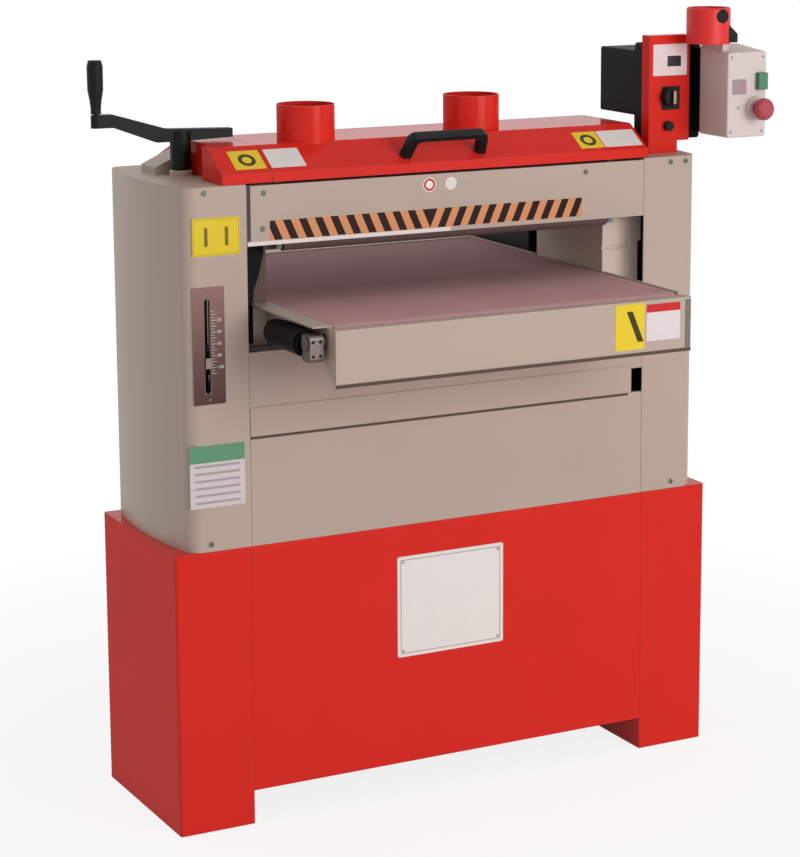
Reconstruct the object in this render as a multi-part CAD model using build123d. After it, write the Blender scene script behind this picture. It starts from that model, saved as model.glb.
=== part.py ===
"""A two-drum thickness sander with a powered feed belt, on a sheet-metal stand.

Millimetres, Z up, X along the drums, the operator stands on the -Y side.
The origin is on the floor, under the middle of the machine.
"""
import os
from math import atan2, cos, degrees, hypot, radians, sin

from build123d import *

os.makedirs("parts", exist_ok=True)

# Driving sizes of the stand
base_width = 1060
base_depth = 340
base_height = 497
leg_width = 137
leg_clearance = 60
sheet = 3

# Driving sizes of the upper body
body_half = 505
body_bow = 14
body_top = 1116
column_inner = 390
corner_radius = 26
cover_sheet = 2.5

# Driving sizes of the sanding drums
drum_radius = 61
abrasive_thickness = 1.5
drum_half_length = 322
drum_offset = 75
drum_height = 1062
shaft_radius = 15

# Driving sizes of the feed table
table_top = 906
belt_half_width = 328
belt_thickness = 2
roller_radius = 24
roller_offset = 362
table_reach = 404
outfeed_reach = 416
cover_half_width = 340
infeed_lip = 23
outfeed_lip = 38
infeed_drop = 95

# Driving sizes of the lift
left_screw_x = -436
right_screw_x = 447
screw_radius = 10
guide_offset = 105
guide_radius = 10

# Driving sizes of the lid
lid_left = -340
lid_right = 400
cap_left = -430
lid_rise = 56
lid_front_slope = 62
lid_rear_slope = 106
lid_lip = 16

# Running clearances
fit = 0.05
gap = 0.3

# Values that follow from the driving sizes
half_base = base_width / 2
half_depth = base_depth / 2
leg_inner = half_base - leg_width
deck = base_height - sheet
abrasive_radius = drum_radius + abrasive_thickness
drum_bottom = drum_height - abrasive_radius
belt_inner = roller_radius + gap
roller_height = table_top - belt_thickness - belt_inner


def block(x0, x1, y0, y1, z0, z1):
    """A box between two corners."""
    centre = Pos((x0 + x1) / 2, (y0 + y1) / 2, (z0 + z1) / 2)
    return centre * Box(abs(x1 - x0), abs(y1 - y0), abs(z1 - z0))


def round_x(x0, x1, y, z, radius):
    """A cylinder lying along X."""
    return Pos((x0 + x1) / 2, y, z) * Rot(0, 90, 0) * Cylinder(radius, x1 - x0)


def round_y(y0, y1, x, z, radius):
    """A cylinder lying along Y."""
    return Pos(x, (y0 + y1) / 2, z) * Rot(90, 0, 0) * Cylinder(radius, y1 - y0)


def round_z(z0, z1, x, y, radius):
    """A cylinder standing along Z."""
    return Pos(x, y, (z0 + z1) / 2) * Cylinder(radius, z1 - z0)


def along_x(points, x0, x1):
    """A closed outline in Y and Z, drawn out along X."""
    face = Plane.YZ.offset(x0) * make_face(Polyline(*points, close=True))
    return extrude(face, amount=x1 - x0)


def along_y(points, y0, y1):
    """A closed outline in X and Z, drawn out along Y."""
    face = Plane.XZ.offset(-y1) * make_face(Polyline(*points, close=True))
    return extrude(face, amount=y1 - y0)


def along_z(points, z0, z1):
    """A closed outline in X and Y, drawn out along Z."""
    face = Plane.XY.offset(z0) * make_face(Polyline(*points, close=True))
    return extrude(face, amount=z1 - z0)


def turned_x(profile, y, z):
    """A body of revolution about an axis along X; the profile is given as (x, radius)."""
    face = Plane.XY * make_face(Polyline(*profile, close=True))
    return Pos(0, y, z) * revolve(face, Axis.X, 360)


def turned_z(profile, x, y):
    """A body of revolution about a standing axis; the profile is given as (radius, z)."""
    face = Plane.XZ * make_face(Polyline(*profile, close=True))
    return Pos(x, y, 0) * revolve(face, Axis.Z, 360)


def loop_face(circles):
    """The outline of a band drawn tight round circles, given anticlockwise as (u, v, radius)."""
    count = len(circles)
    normals = []
    for i in range(count):
        au, av, ar = circles[i]
        bu, bv, br = circles[(i + 1) % count]
        span = hypot(bu - au, bv - av)
        du, dv = (bu - au) / span, (bv - av) / span
        lean = (ar - br) / span
        side = (1 - lean * lean) ** 0.5
        normals.append((du * lean + dv * side, dv * lean - du * side))
    edges = []
    for i in range(count):
        u, v, r = circles[i]
        nu, nv = normals[i - 1]
        mu, mv = normals[i]
        hu, hv = nu + mu, nv + mv
        if hypot(hu, hv) < 1e-6:
            hu, hv = -nv, nu
        size = hypot(hu, hv)
        start = (u + r * nu, v + r * nv)
        middle = (u + r * hu / size, v + r * hv / size)
        end = (u + r * mu, v + r * mv)
        edges.append(ThreePointArc(start, middle, end))
        w, s, q = circles[(i + 1) % count]
        edges.append(Line(end, (w + q * mu, s + q * mv)))
    return make_face(edges)


def band(circles, thickness, plane, width):
    """A closed band of even thickness round the circles, drawn out from a plane."""
    outer = loop_face([(u, v, r + thickness) for u, v, r in circles])
    inner = loop_face(circles)
    return extrude(plane * (outer - inner), amount=width)


def save(shape, name):
    export_step(shape, f"parts/{name}.step")


def mirror_x(shape):
    return mirror(shape, about=Plane.YZ)


def mirror_y(shape):
    return mirror(shape, about=Plane.XZ)


# Stand: two box legs folded from sheet, each with a floor plate that has two anchor holes
anchor_x = half_base - leg_width / 2
anchor_y = 120
anchor_radius = 7
foot = 6
motor_shelf = 154
motor_height = motor_shelf + 112
leg_rounding = 5
shaft_hole_radius = 34

leg = block(leg_inner, half_base, -half_depth, half_depth, 0, deck)
leg = fillet(leg.edges().filter_by(Axis.Z).group_by(Axis.X)[-1], leg_rounding)
leg -= block(leg_inner + sheet, half_base - sheet, sheet - half_depth, half_depth - sheet, foot, deck)
for y in (-anchor_y, anchor_y):
    leg -= round_z(0, foot, anchor_x, y, anchor_radius)
save(mirror_x(leg), "base_left_leg")
shaft_hole = round_x(leg_inner, leg_inner + sheet, 0, motor_height, shaft_hole_radius)
save(leg - shaft_hole, "base_right_leg")

# Stand panels: flush with the leg fronts, with folded lips at top and bottom
seam = 0.6
panel_half = leg_inner - seam
panel_lip = 24
front = -half_depth
panel_outline = [
    (front, leg_clearance),
    (front + panel_lip, leg_clearance),
    (front + panel_lip, leg_clearance + sheet),
    (front + sheet, leg_clearance + sheet),
    (front + sheet, deck - sheet),
    (front + panel_lip, deck - sheet),
    (front + panel_lip, deck),
    (front, deck),
]
base_panel = along_x(panel_outline, -panel_half, panel_half)
save(base_panel, "base_front_panel")
rear_panel = mirror_y(base_panel)
vent_columns = (-70, 60, 190)
vent_rows = 7
vent_pitch = 16
vent_length = 104
vent_height = 7
for x in vent_columns:
    for row in range(vent_rows):
        z = motor_height - vent_pitch * (row - (vent_rows - 1) / 2)
        slot = Plane.XZ.offset(-half_depth) * Pos(x, z) * SlotOverall(vent_length, vent_height)
        rear_panel -= extrude(slot, amount=sheet)
save(rear_panel, "base_rear_panel")

# Stand top: one plate over legs and panels, open over the right leg for the drum belt
belt_slot_x0 = 395
belt_slot_x1 = 432
belt_slot_half = 96
top_plate = block(-half_base, half_base, -half_depth, half_depth, deck, base_height)
top_plate = fillet(top_plate.edges().filter_by(Axis.Z), leg_rounding)
top_plate -= block(belt_slot_x0, belt_slot_x1, -belt_slot_half, belt_slot_half, deck, base_height)
save(top_plate, "base_top_plate")

# Motor shelf: a channel between the stand panels with slots for moving the motor
shelf_half = half_depth - sheet
shelf_lip = 28
shelf_sheet = 4
shelf_outline = [
    (-shelf_half, motor_shelf - shelf_lip),
    (shelf_sheet - shelf_half, motor_shelf - shelf_lip),
    (shelf_sheet - shelf_half, motor_shelf - shelf_sheet),
    (shelf_half - shelf_sheet, motor_shelf - shelf_sheet),
    (shelf_half - shelf_sheet, motor_shelf - shelf_lip),
    (shelf_half, motor_shelf - shelf_lip),
    (shelf_half, motor_shelf),
    (-shelf_half, motor_shelf),
]
shelf = along_x(shelf_outline, -panel_half, panel_half)
motor_bolt_x = (110, 250)
motor_bolt_y = 95
motor_bolt_hole = 12
bolt_travel = 22
for x in motor_bolt_x:
    for y in (-motor_bolt_y, motor_bolt_y):
        slot = SlotOverall(motor_bolt_hole + bolt_travel, motor_bolt_hole, rotation=90)
        shelf -= extrude(Plane.XY.offset(motor_shelf - shelf_sheet) * Pos(x, y) * slot, amount=shelf_sheet)
save(shelf, "motor_shelf")

# Main motor: finned housing, fan cowl, drive-end shield, feet and terminal box
motor_radius = 88
fin_height = 9
fin_count = 20
fan_end = -28
shield_end = 334
motor_shaft_radius = 14
motor_bore = motor_shaft_radius + fit
cowl_radius = 96
cowl_end = 52
shield_start = 300
shield_radius = 97
shield_nose = 46
bore_end = 286
foot_thickness = 11
housing = turned_x(
    [
        (fan_end, 0),
        (fan_end, cowl_radius - 12),
        (fan_end + 12, cowl_radius),
        (cowl_end, cowl_radius),
        (cowl_end, motor_radius),
        (shield_start, motor_radius),
        (shield_start, shield_radius),
        (shield_start + 14, shield_radius),
        (shield_start + 18, shield_nose + 16),
        (shield_end, shield_nose),
        (shield_end, motor_bore),
        (bore_end, motor_bore),
        (bore_end, 0),
    ],
    0,
    motor_height,
)
for i in range(fin_count):
    fin = block(cowl_end + 4, shield_start - 2, -2, 2, motor_radius - 2, motor_radius + fin_height)
    housing += Pos(0, 0, motor_height) * Rot(360 / fin_count * (i + 0.5), 0, 0) * fin
feet = block(92, 268, -112, 112, motor_shelf, motor_shelf + foot_thickness)
feet += block(100, 260, -62, 62, motor_shelf, motor_height - 60)
for x in motor_bolt_x:
    for y in (-motor_bolt_y, motor_bolt_y):
        feet -= round_z(motor_shelf, motor_shelf + foot_thickness, x, y, motor_bolt_hole / 2)
terminal_box = block(118, 226, -52, 52, motor_height + 70, motor_height + 128)
terminal_box = fillet(terminal_box.edges().filter_by(Axis.Z), 8)
save(housing + feet + terminal_box, "main_motor")

# Motor shaft with its flanged belt pulley, inside the right leg
belt_x0 = 400
belt_x1 = 428
belt_band = 5
motor_pulley_radius = 44
drum_pulley_radius = 36
flange_rim = 7


def pulley_profile(groove, bore):
    """A flanged pulley for a ribbed belt, as (x, radius)."""
    rim = groove + flange_rim
    return [
        (belt_x0 - 4, bore),
        (belt_x0 - 4, rim),
        (belt_x0 - 1, rim),
        (belt_x0 - 1, groove),
        (belt_x1 + 1, groove),
        (belt_x1 + 1, rim),
        (belt_x1 + 4, rim),
        (belt_x1 + 4, bore),
    ]


shaft_start = bore_end + 2
shaft_end = belt_x1 + 6
motor_shaft = round_x(shaft_start, shaft_end, 0, motor_height, motor_shaft_radius)
motor_shaft += turned_x(pulley_profile(motor_pulley_radius, motor_shaft_radius - 2), 0, motor_height)
save(motor_shaft, "motor_pulley")


# Column covers: one bent sheet each, flat at the front, rounded at the corners, bowed at the side,
# with strips behind the inner edges that the panels between the columns lap onto
def cover_outline(inset, inner):
    """Plan of the right-hand cover, pulled in by the inset."""
    x = body_half - inset
    y = half_depth - inset
    r = corner_radius - inset
    turn = r * (1 - cos(radians(45)))
    return make_face(
        [
            Line((inner, -y), (x - r, -y)),
            ThreePointArc((x - r, -y), (x - turn, turn - y), (x, r - y)),
            ThreePointArc((x, r - y), (x + body_bow, 0), (x, y - r)),
            ThreePointArc((x, y - r), (x - turn, y - turn), (x - r, y)),
            Line((x - r, y), (inner, y)),
            Line((inner, y), (inner, -y)),
        ]
    )


cover_height = body_top - base_height
cover = extrude(Plane.XY.offset(base_height) * cover_outline(0, column_inner), amount=cover_height)
hollow = cover_height - cover_sheet
cover -= extrude(Plane.XY.offset(base_height) * cover_outline(cover_sheet, column_inner), amount=hollow)
lap_x0 = column_inner - 18
lap_x1 = column_inner + 14
lap_depth = half_depth - cover_sheet
front_laps = ((base_height + 4, 682), (738, 830), (1016, 1108))
rear_laps = ((base_height + 4, 780), (1016, 1108))
for side, laps in ((-1, front_laps), (1, rear_laps)):
    for z0, z1 in laps:
        cover += block(lap_x0, lap_x1, side * (lap_depth - cover_sheet), side * lap_depth, z0, z1)

# Left cover: a raised ring for the crank, a sloped cap behind it and a slot for the depth pointer
scale_slot_x = 464
scale_slot_half = 5
scale_slot_bottom = 769
scale_slot_top = 930
crank_ring_top = body_top + 10
ring_radius = 20
left_cover = cover + turned_z(
    [
        (0, body_top - 1),
        (ring_radius, body_top - 1),
        (ring_radius, crank_ring_top - 3),
        (ring_radius - 2, crank_ring_top),
        (0, crank_ring_top),
    ],
    -left_screw_x,
    0,
)
left_cover -= round_z(body_top - 5, crank_ring_top, -left_screw_x, 0, screw_radius + gap)
cap_outer = 472
cap_inner = 415
cap_low = body_top + 12
cap_high = body_top + 38
cap_front = 28
cap_back = 92
cap_outline = [
    (cap_inner, body_top - 1),
    (cap_outer, body_top - 1),
    (cap_outer, cap_low),
    (cap_inner, cap_high),
]
left_cover += along_y(cap_outline, cap_front, cap_back)
slot_length = scale_slot_top - scale_slot_bottom
slot = SlotOverall(slot_length, 2 * scale_slot_half, rotation=90)
slot_place = Pos(scale_slot_x, (scale_slot_top + scale_slot_bottom) / 2)
left_cover -= extrude(Plane.XZ.offset(half_depth - cover_sheet) * slot_place * slot, amount=cover_sheet)
save(mirror_x(left_cover), "left_cover")
save(cover, "right_cover")

# Side frames: a plate beside the feed belt, arched at the foot, with posts, a seam across the front post
# and a bearing ledge
frame_x = 334
frame_plate = 10
frame_half = 119
ledge = 1022
ledge_reach = 388
ledge_overhang = 19
ledge_thickness = 10
post_thickness = 8
post_foot = 8
post_reach = 398
post_seam = 946
post_seam_height = 7
arch_half = 72
arch_top = 735
arch_corner = 30
plate_outline = [
    (-frame_half, base_height),
    (-arch_half, base_height),
    (-arch_half, arch_top - arch_corner),
    (arch_corner - arch_half, arch_top),
    (arch_half - arch_corner, arch_top),
    (arch_half, arch_top - arch_corner),
    (arch_half, base_height),
    (frame_half, base_height),
    (frame_half, ledge),
    (-frame_half, ledge),
]
side_frame = along_x(plate_outline, frame_x, frame_x + frame_plate)
for side in (-1, 1):
    y0, y1 = sorted((side * frame_half, side * (frame_half - post_thickness)))
    side_frame += block(frame_x, post_reach, y0, y1, base_height, ledge)
    y0, y1 = sorted((side * frame_half, side * (arch_half + 2)))
    side_frame += block(frame_x, ledge_reach, y0, y1, base_height, base_height + post_foot)
ledge_half = frame_half + ledge_overhang
side_frame += block(frame_x, ledge_reach, -ledge_half, ledge_half, ledge - ledge_thickness, ledge)
side_frame -= block(
    frame_x, post_reach, -frame_half, 3 - frame_half, post_seam, post_seam + post_seam_height
)
save(mirror_x(side_frame), "left_side_frame")
save(side_frame, "right_side_frame")

# Bearing bridges: a bar with two pillow blocks, bolted to the ledge outside each side frame
bearing_x0 = 347
bearing_x1 = 385
bearing_outer = 33
bridge = block(bearing_x0, bearing_x1, -frame_half - 16, frame_half + 16, ledge, ledge + 12)
for y in (-drum_offset, drum_offset):
    bridge += along_x(
        [
            (y - 48, ledge + 10),
            (y - 48, ledge + 16),
            (y - 31, drum_height - 12),
            (y + 31, drum_height - 12),
            (y + 48, ledge + 16),
            (y + 48, ledge + 10),
        ],
        bearing_x0 + 4,
        bearing_x1 - 4,
    )
    bridge += round_x(bearing_x0, bearing_x1, y, drum_height, bearing_outer)
for y in (-drum_offset, drum_offset):
    bridge -= round_x(bearing_x0, bearing_x1, y, drum_height, shaft_radius + fit)
save(mirror_x(bridge), "left_bearing_bridge")
save(bridge, "right_bearing_bridge")

# Drums: a turned core on its shaft, dished at the ends, wrapped in abrasive, with a belt pulley
dish = 14
rim_depth = 6
web_inner = 24
web_outer = 50
drum_profile = [
    (-bearing_x1 - 6, 0),
    (-bearing_x1 - 6, shaft_radius),
    (dish - drum_half_length, shaft_radius),
    (dish - drum_half_length, web_inner),
    (rim_depth - drum_half_length, web_inner + 2),
    (rim_depth - drum_half_length, web_outer),
    (-drum_half_length, web_outer + 4),
    (-drum_half_length, drum_radius),
    (drum_half_length, drum_radius),
    (drum_half_length, web_outer + 4),
    (drum_half_length - rim_depth, web_outer),
    (drum_half_length - rim_depth, web_inner + 2),
    (drum_half_length - dish, web_inner),
    (drum_half_length - dish, shaft_radius),
    (shaft_end, shaft_radius),
    (shaft_end, 0),
]
sleeve_end = drum_half_length - 2
sleeve_profile = [
    (-sleeve_end, drum_radius),
    (-sleeve_end, abrasive_radius),
    (sleeve_end, abrasive_radius),
    (sleeve_end, drum_radius),
]
for name, y in (("front", -drum_offset), ("rear", drum_offset)):
    save(turned_x(drum_profile, y, drum_height), f"{name}_drum")
    save(turned_x(sleeve_profile, y, drum_height), f"{name}_abrasive")
    save(turned_x(pulley_profile(drum_pulley_radius, shaft_radius), y, drum_height), f"{name}_drum_pulley")

# Drum belt: one ribbed belt round the motor pulley and both drum pulleys
drum_belt = band(
    [
        (0, motor_height, motor_pulley_radius + gap),
        (drum_offset, drum_height, drum_pulley_radius + gap),
        (-drum_offset, drum_height, drum_pulley_radius + gap),
    ],
    belt_band,
    Plane.YZ.offset(belt_x0),
    belt_x1 - belt_x0,
)
save(drum_belt, "drum_belt")

# Upper panels: folded sheet over the drum ends, with a short lip below and a flange above
throat_top = 1012
upper_top = body_top - 3
upper_lip = 6
upper_flange = 32
stud_x = 326
press_y = 150
press_radius = 12
press_height = drum_bottom - 2 + press_radius
stud_radius = 5
upper_outline = [
    (front, throat_top),
    (front + upper_lip, throat_top),
    (front + upper_lip, throat_top + cover_sheet),
    (front + cover_sheet, throat_top + cover_sheet),
    (front + cover_sheet, upper_top - cover_sheet),
    (front + upper_flange, upper_top - cover_sheet),
    (front + upper_flange, upper_top),
    (front, upper_top),
]
upper_half = column_inner - seam
upper_panel = along_x(upper_outline, -upper_half, upper_half)
for x in (-stud_x, stud_x):
    upper_panel -= round_z(upper_top - cover_sheet, upper_top, x, -press_y, stud_radius + gap)
save(upper_panel, "upper_front_panel")

# Rear upper panel: the same sheet turned round, with three hinge knuckles for the lid
hinge_y = half_depth + 7
hinge_z = body_top + 4
hinge_pin = 3
knuckle = 6
knuckle_length = 22
hinge_places = (-290, 30, 350)


def hinge_knuckle(x, hand):
    """One barrel beside a hinge place; hand is the side it stands on."""
    x0, x1 = sorted((x + hand * gap, x + hand * (knuckle_length + gap)))
    return x0, x1


rear_upper = along_x([(-y, z) for y, z in upper_outline], -upper_half, upper_half)
for x in (-stud_x, stud_x):
    rear_upper -= round_z(upper_top - cover_sheet, upper_top, x, press_y, stud_radius + gap)
for x in hinge_places:
    x0, x1 = hinge_knuckle(x, -1)
    rear_upper += block(x0, x1, half_depth - 1, half_depth + 4, upper_top - 40, hinge_z)
    rear_upper += round_x(x0, x1, hinge_y, hinge_z, knuckle)
for x in hinge_places:
    x0, x1 = hinge_knuckle(x, -1)
    rear_upper -= round_x(x0, x1, hinge_y, hinge_z, hinge_pin + fit)
save(rear_upper, "upper_rear_panel")

# Throat panel and lower panels: the sheet under the feed table, front and back
throat_bottom = 687
throat_rim = 832
throat_fold = 9
band_thickness = 1.5
rear_lower_top = 785
slot_right = 366
slot_top = 732
throat_outline = [
    (-upper_half, throat_bottom + seam),
    (slot_right, throat_bottom + seam),
    (slot_right, slot_top),
    (upper_half, slot_top),
    (upper_half, throat_rim),
    (-upper_half, throat_rim),
]
fold_half = lap_x0 - 1
throat_panel = along_y(throat_outline, front, front + cover_sheet)
throat_panel += block(-fold_half, fold_half, front, front + throat_fold, throat_rim - cover_sheet, throat_rim)
band_top = slot_top + 5
throat_panel += block(-upper_half, slot_right, front - band_thickness, front, throat_bottom + seam, band_top)
save(throat_panel, "throat_panel")
lower_outline = [
    (front, base_height),
    (front + panel_lip, base_height),
    (front + panel_lip, base_height + cover_sheet),
    (front + cover_sheet, base_height + cover_sheet),
    (front + cover_sheet, throat_bottom - cover_sheet),
    (front + 10, throat_bottom - cover_sheet),
    (front + 10, throat_bottom),
    (front, throat_bottom),
]
save(along_x(lower_outline, -upper_half, upper_half), "lower_front_panel")
rear_rise = rear_lower_top - throat_bottom
rear_lower_outline = [(-y, z if z < throat_bottom - 10 else z + rear_rise) for y, z in lower_outline]
save(along_x(rear_lower_outline, -upper_half, upper_half), "lower_rear_panel")

# Pressure rollers: a sprung carrier with two cheeks and studs, holding a turned roller
roller_end = 318
cheek_x0 = 321
cheek_x1 = 331
stud_top = body_top + 8
pin_radius = 5
cheek_half = 11
cheek_rise = 50
cheek_top = press_height + cheek_rise
carrier = block(-cheek_x0, cheek_x0, -press_y - 10, -press_y - 4, press_height + 16, cheek_top)
for x0, x1 in ((-cheek_x1, -cheek_x0), (cheek_x0, cheek_x1)):
    cheek = [
        (-press_y - cheek_half, press_height),
        (-press_y - 6, press_height - 8),
        (-press_y + 6, press_height - 8),
        (-press_y + cheek_half, press_height),
        (-press_y + cheek_half, cheek_top),
        (-press_y - cheek_half, cheek_top),
    ]
    carrier += along_x(cheek, x0, x1)
for x in (-stud_x, stud_x):
    carrier += round_z(cheek_top - 1, stud_top, x, -press_y, stud_radius)
for x0, x1 in ((-cheek_x1, -cheek_x0), (cheek_x0, cheek_x1)):
    carrier -= round_x(x0, x1, -press_y, press_height, pin_radius + fit)
press_profile = [
    (-cheek_x1, 0),
    (-cheek_x1, pin_radius),
    (-roller_end, pin_radius),
    (-roller_end, press_radius),
    (roller_end, press_radius),
    (roller_end, pin_radius),
    (cheek_x1, pin_radius),
    (cheek_x1, 0),
]
save(carrier, "infeed_press_carrier")
save(mirror_y(carrier), "outfeed_press_carrier")
save(turned_x(press_profile, -press_y, press_height), "infeed_press_roller")
save(turned_x(press_profile, press_y, press_height), "outfeed_press_roller")

# Feed table: rails, cross members and bed inside the feed belt, side plates outside it,
# with a flat strip on the left plate over the feed motor
bed_top = table_top - belt_thickness
bed_half = 326
rail_width = 26
rail_bottom = roller_height - roller_radius + 6
bed_reach = roller_offset - roller_radius - 8
beam_y0 = 126
beam_y1 = 156
plate_x0 = 331
plate_x1 = 337
plate_back = 123
plate_front = table_reach - 4
plate_step = 374
plate_bottom = roller_height - 22
strip_left = 366
strip_thickness = 3
beam_top = 835
journal = 8
table = block(-bed_half, bed_half, -bed_reach, bed_reach, bed_top - 4, bed_top)
for side in (-1, 1):
    x0, x1 = sorted((side * bed_half, side * (bed_half - rail_width)))
    rail = block(x0, x1, -bed_reach, bed_reach, rail_bottom, bed_top - 2)
    hollow0, hollow1 = sorted((side * (bed_half - 4), side * (bed_half - rail_width)))
    rail -= block(hollow0, hollow1, -bed_reach, bed_reach, rail_bottom + 4, bed_top - 8)
    table += rail
for y in (-250, -141, 0, 141, 250):
    table += block(-bed_half + 2, bed_half - 2, y - 15, y + 15, rail_bottom + 6, bed_top - 2)
for side in (-1, 1):
    for end in (-1, 1):
        x0, x1 = sorted((side * plate_x0, side * plate_x1))
        y0, y1 = sorted((end * plate_back, end * plate_step))
        plate = block(x0, x1, y0, y1, plate_bottom, table_top + 1)
        y0, y1 = sorted((end * plate_step, end * plate_front))
        plate += block(x0, x1, y0, y1, plate_bottom, table_top - 12)
        y0, y1 = sorted((end * beam_y0, end * beam_y1))
        x0, x1 = sorted((side * (bed_half - 2), side * (plate_x0 + 1)))
        plate += block(x0, x1, y0, y1, rail_bottom + 2, bed_top - 6)
        table += plate
strip_bottom = table_top + 1 - strip_thickness
table += block(-strip_left, -plate_x0, -plate_step, -plate_back, strip_bottom, table_top + 1)
for end in (-1, 1):
    table -= round_x(-plate_x1, plate_x1, end * roller_offset, roller_height, journal + fit)
save(table, "table_frame")

# Feed belt: an endless abrasive-cloth belt round both rollers
feed_belt = band(
    [(roller_offset, roller_height, belt_inner), (-roller_offset, roller_height, belt_inner)],
    belt_thickness,
    Plane.YZ.offset(-belt_half_width),
    2 * belt_half_width,
)
save(feed_belt, "feed_belt")

# Feed rollers: the front one is driven through the gearbox on its left end
gearbox_x0 = -374
gearbox_x1 = -350
drive_end = -366
roller_profile = [
    (-plate_x1, 0),
    (-plate_x1, journal),
    (-bed_half, journal),
    (-bed_half, roller_radius),
    (bed_half, roller_radius),
    (bed_half, journal),
    (plate_x1, journal),
    (plate_x1, 0),
]
drive_profile = [(drive_end, 0), (drive_end, journal)] + roller_profile[2:]
save(turned_x(drive_profile, -roller_offset, roller_height), "drive_roller")
save(turned_x(roller_profile, roller_offset, roller_height), "idler_roller")

# Feed gearbox and motor: hung on the left end of the front roller, the motor lies beside the table
gear_y0 = -380
gear_y1 = -348
gear_hub = 11
gear_bottom = roller_height - 31
gear_top = roller_height + 14
feed_axis_x = -364
feed_axis_z = roller_height - 4
feed_radius = 23
feed_spigot = 19
feed_cap = 30
gearbox = block(gearbox_x0, gearbox_x1, gear_y0, gear_y1, gear_bottom, gear_top)
gearbox = fillet(gearbox.edges().filter_by(Axis.X), 7)
gearbox += round_x(gearbox_x1 - 2, -plate_x1, -roller_offset, roller_height, gear_hub)
gearbox += round_x(gearbox_x0 - 3, gearbox_x0 + 2, -roller_offset, roller_height, 12)
gearbox -= round_x(drive_end - 1, -plate_x1, -roller_offset, roller_height, journal + fit)
save(gearbox, "feed_gearbox")
motor_end = -218
feed_motor_profile = [
    (0, gear_y1),
    (feed_spigot, gear_y1),
    (feed_spigot, gear_y1 + 8),
    (feed_radius, gear_y1 + 8),
    (feed_radius, motor_end - feed_cap),
    (feed_radius - 1.5, motor_end - feed_cap),
    (feed_radius - 1.5, motor_end - 4),
    (feed_radius - 5, motor_end),
    (0, motor_end),
]
feed_motor = revolve(Plane.XY * make_face(Polyline(*feed_motor_profile, close=True)), Axis.Y, 360)
save(Pos(feed_axis_x, 0, feed_axis_z) * feed_motor, "feed_motor")

# Table end covers: folded sheet round the front and back of the table. The front one stays below the belt,
# and its left side is cut on a slant to clear the gearbox
infeed_top = table_top - 3
cover_bottom = infeed_top - infeed_drop
cover_fold = 8
skin = 2.5


def end_cover(reach, lip, top):
    """Front sheet of a table end, folded over the top and under the bottom."""
    outline = [
        (-reach, cover_bottom),
        (-reach + cover_fold, cover_bottom),
        (-reach + cover_fold, cover_bottom + skin),
        (-reach + skin, cover_bottom + skin),
        (-reach + skin, top - skin),
        (-reach + lip, top - skin),
        (-reach + lip, top),
        (-reach, top),
    ]
    return along_x(outline, -cover_half_width, cover_half_width)


def end_side(reach, lip, top):
    """Right-hand side sheet of a table end."""
    return block(plate_x1, cover_half_width, -reach, -reach + lip, cover_bottom, top)


slant_back = -345
slant_rise = 43
slant_side = [
    (-table_reach, cover_bottom),
    (slant_back, cover_bottom + slant_rise),
    (slant_back, infeed_top),
    (-table_reach, infeed_top),
]
infeed = end_cover(table_reach, infeed_lip, infeed_top)
infeed += end_side(table_reach, infeed_lip, infeed_top)
infeed += along_x(slant_side, -cover_half_width, -plate_x1)
infeed -= round_x(-cover_half_width, -plate_x1, -roller_offset, roller_height, gear_hub + 1)
save(infeed, "infeed_cover")
outfeed_side = end_side(outfeed_reach, outfeed_lip, table_top)
outfeed = end_cover(outfeed_reach, outfeed_lip, table_top) + outfeed_side + mirror_x(outfeed_side)
save(mirror_y(outfeed), "outfeed_cover")

# Lift frame: two beams with four upright lugs that carry the table's side plates, and a carriage in each
# column, bored for screw and guides
beam_bottom = 795
carriage_half = 15
nut_radius = 18
nut_bottom = beam_bottom - 14
nut_top = beam_top + 8
lift = block(left_screw_x, right_screw_x, -beam_y1, -beam_y0, beam_bottom, beam_top)
lift += block(left_screw_x, right_screw_x, beam_y0, beam_y1, beam_bottom, beam_top)
for x0, x1 in ((-plate_x1, -plate_x0), (plate_x0, plate_x1)):
    for y0, y1 in ((-beam_y1, -beam_y0), (beam_y0, beam_y1)):
        lift += block(x0, x1, y0, y1, beam_top - 1, plate_bottom)
for x in (left_screw_x, right_screw_x):
    lift += block(x - carriage_half, x + carriage_half, -beam_y1, beam_y1, beam_bottom, beam_top)
    lift += round_z(nut_bottom, nut_top, x, 0, nut_radius)
for x in (left_screw_x, right_screw_x):
    lift -= round_z(nut_bottom, nut_top, x, 0, screw_radius + gap)
    for y in (-guide_offset, guide_offset):
        lift -= round_z(beam_bottom, beam_top, x, y, guide_radius + gap)
save(lift, "lift_frame")

# Depth pointer: a bent tongue on the left carriage that looks out through the scale slot
pointer_z = 820
pointer_half = 3
pointer_left = -scale_slot_x - pointer_half
pointer_right = -scale_slot_x + pointer_half
pointer = block(pointer_left, left_screw_x, -beam_y1 - 6, -beam_y1, pointer_z - 7, pointer_z + 7)
pointer += block(pointer_left, pointer_right, -half_depth - 4, -beam_y1 - 5, pointer_z - 2, pointer_z + 2)
save(pointer, "depth_pointer")

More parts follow.
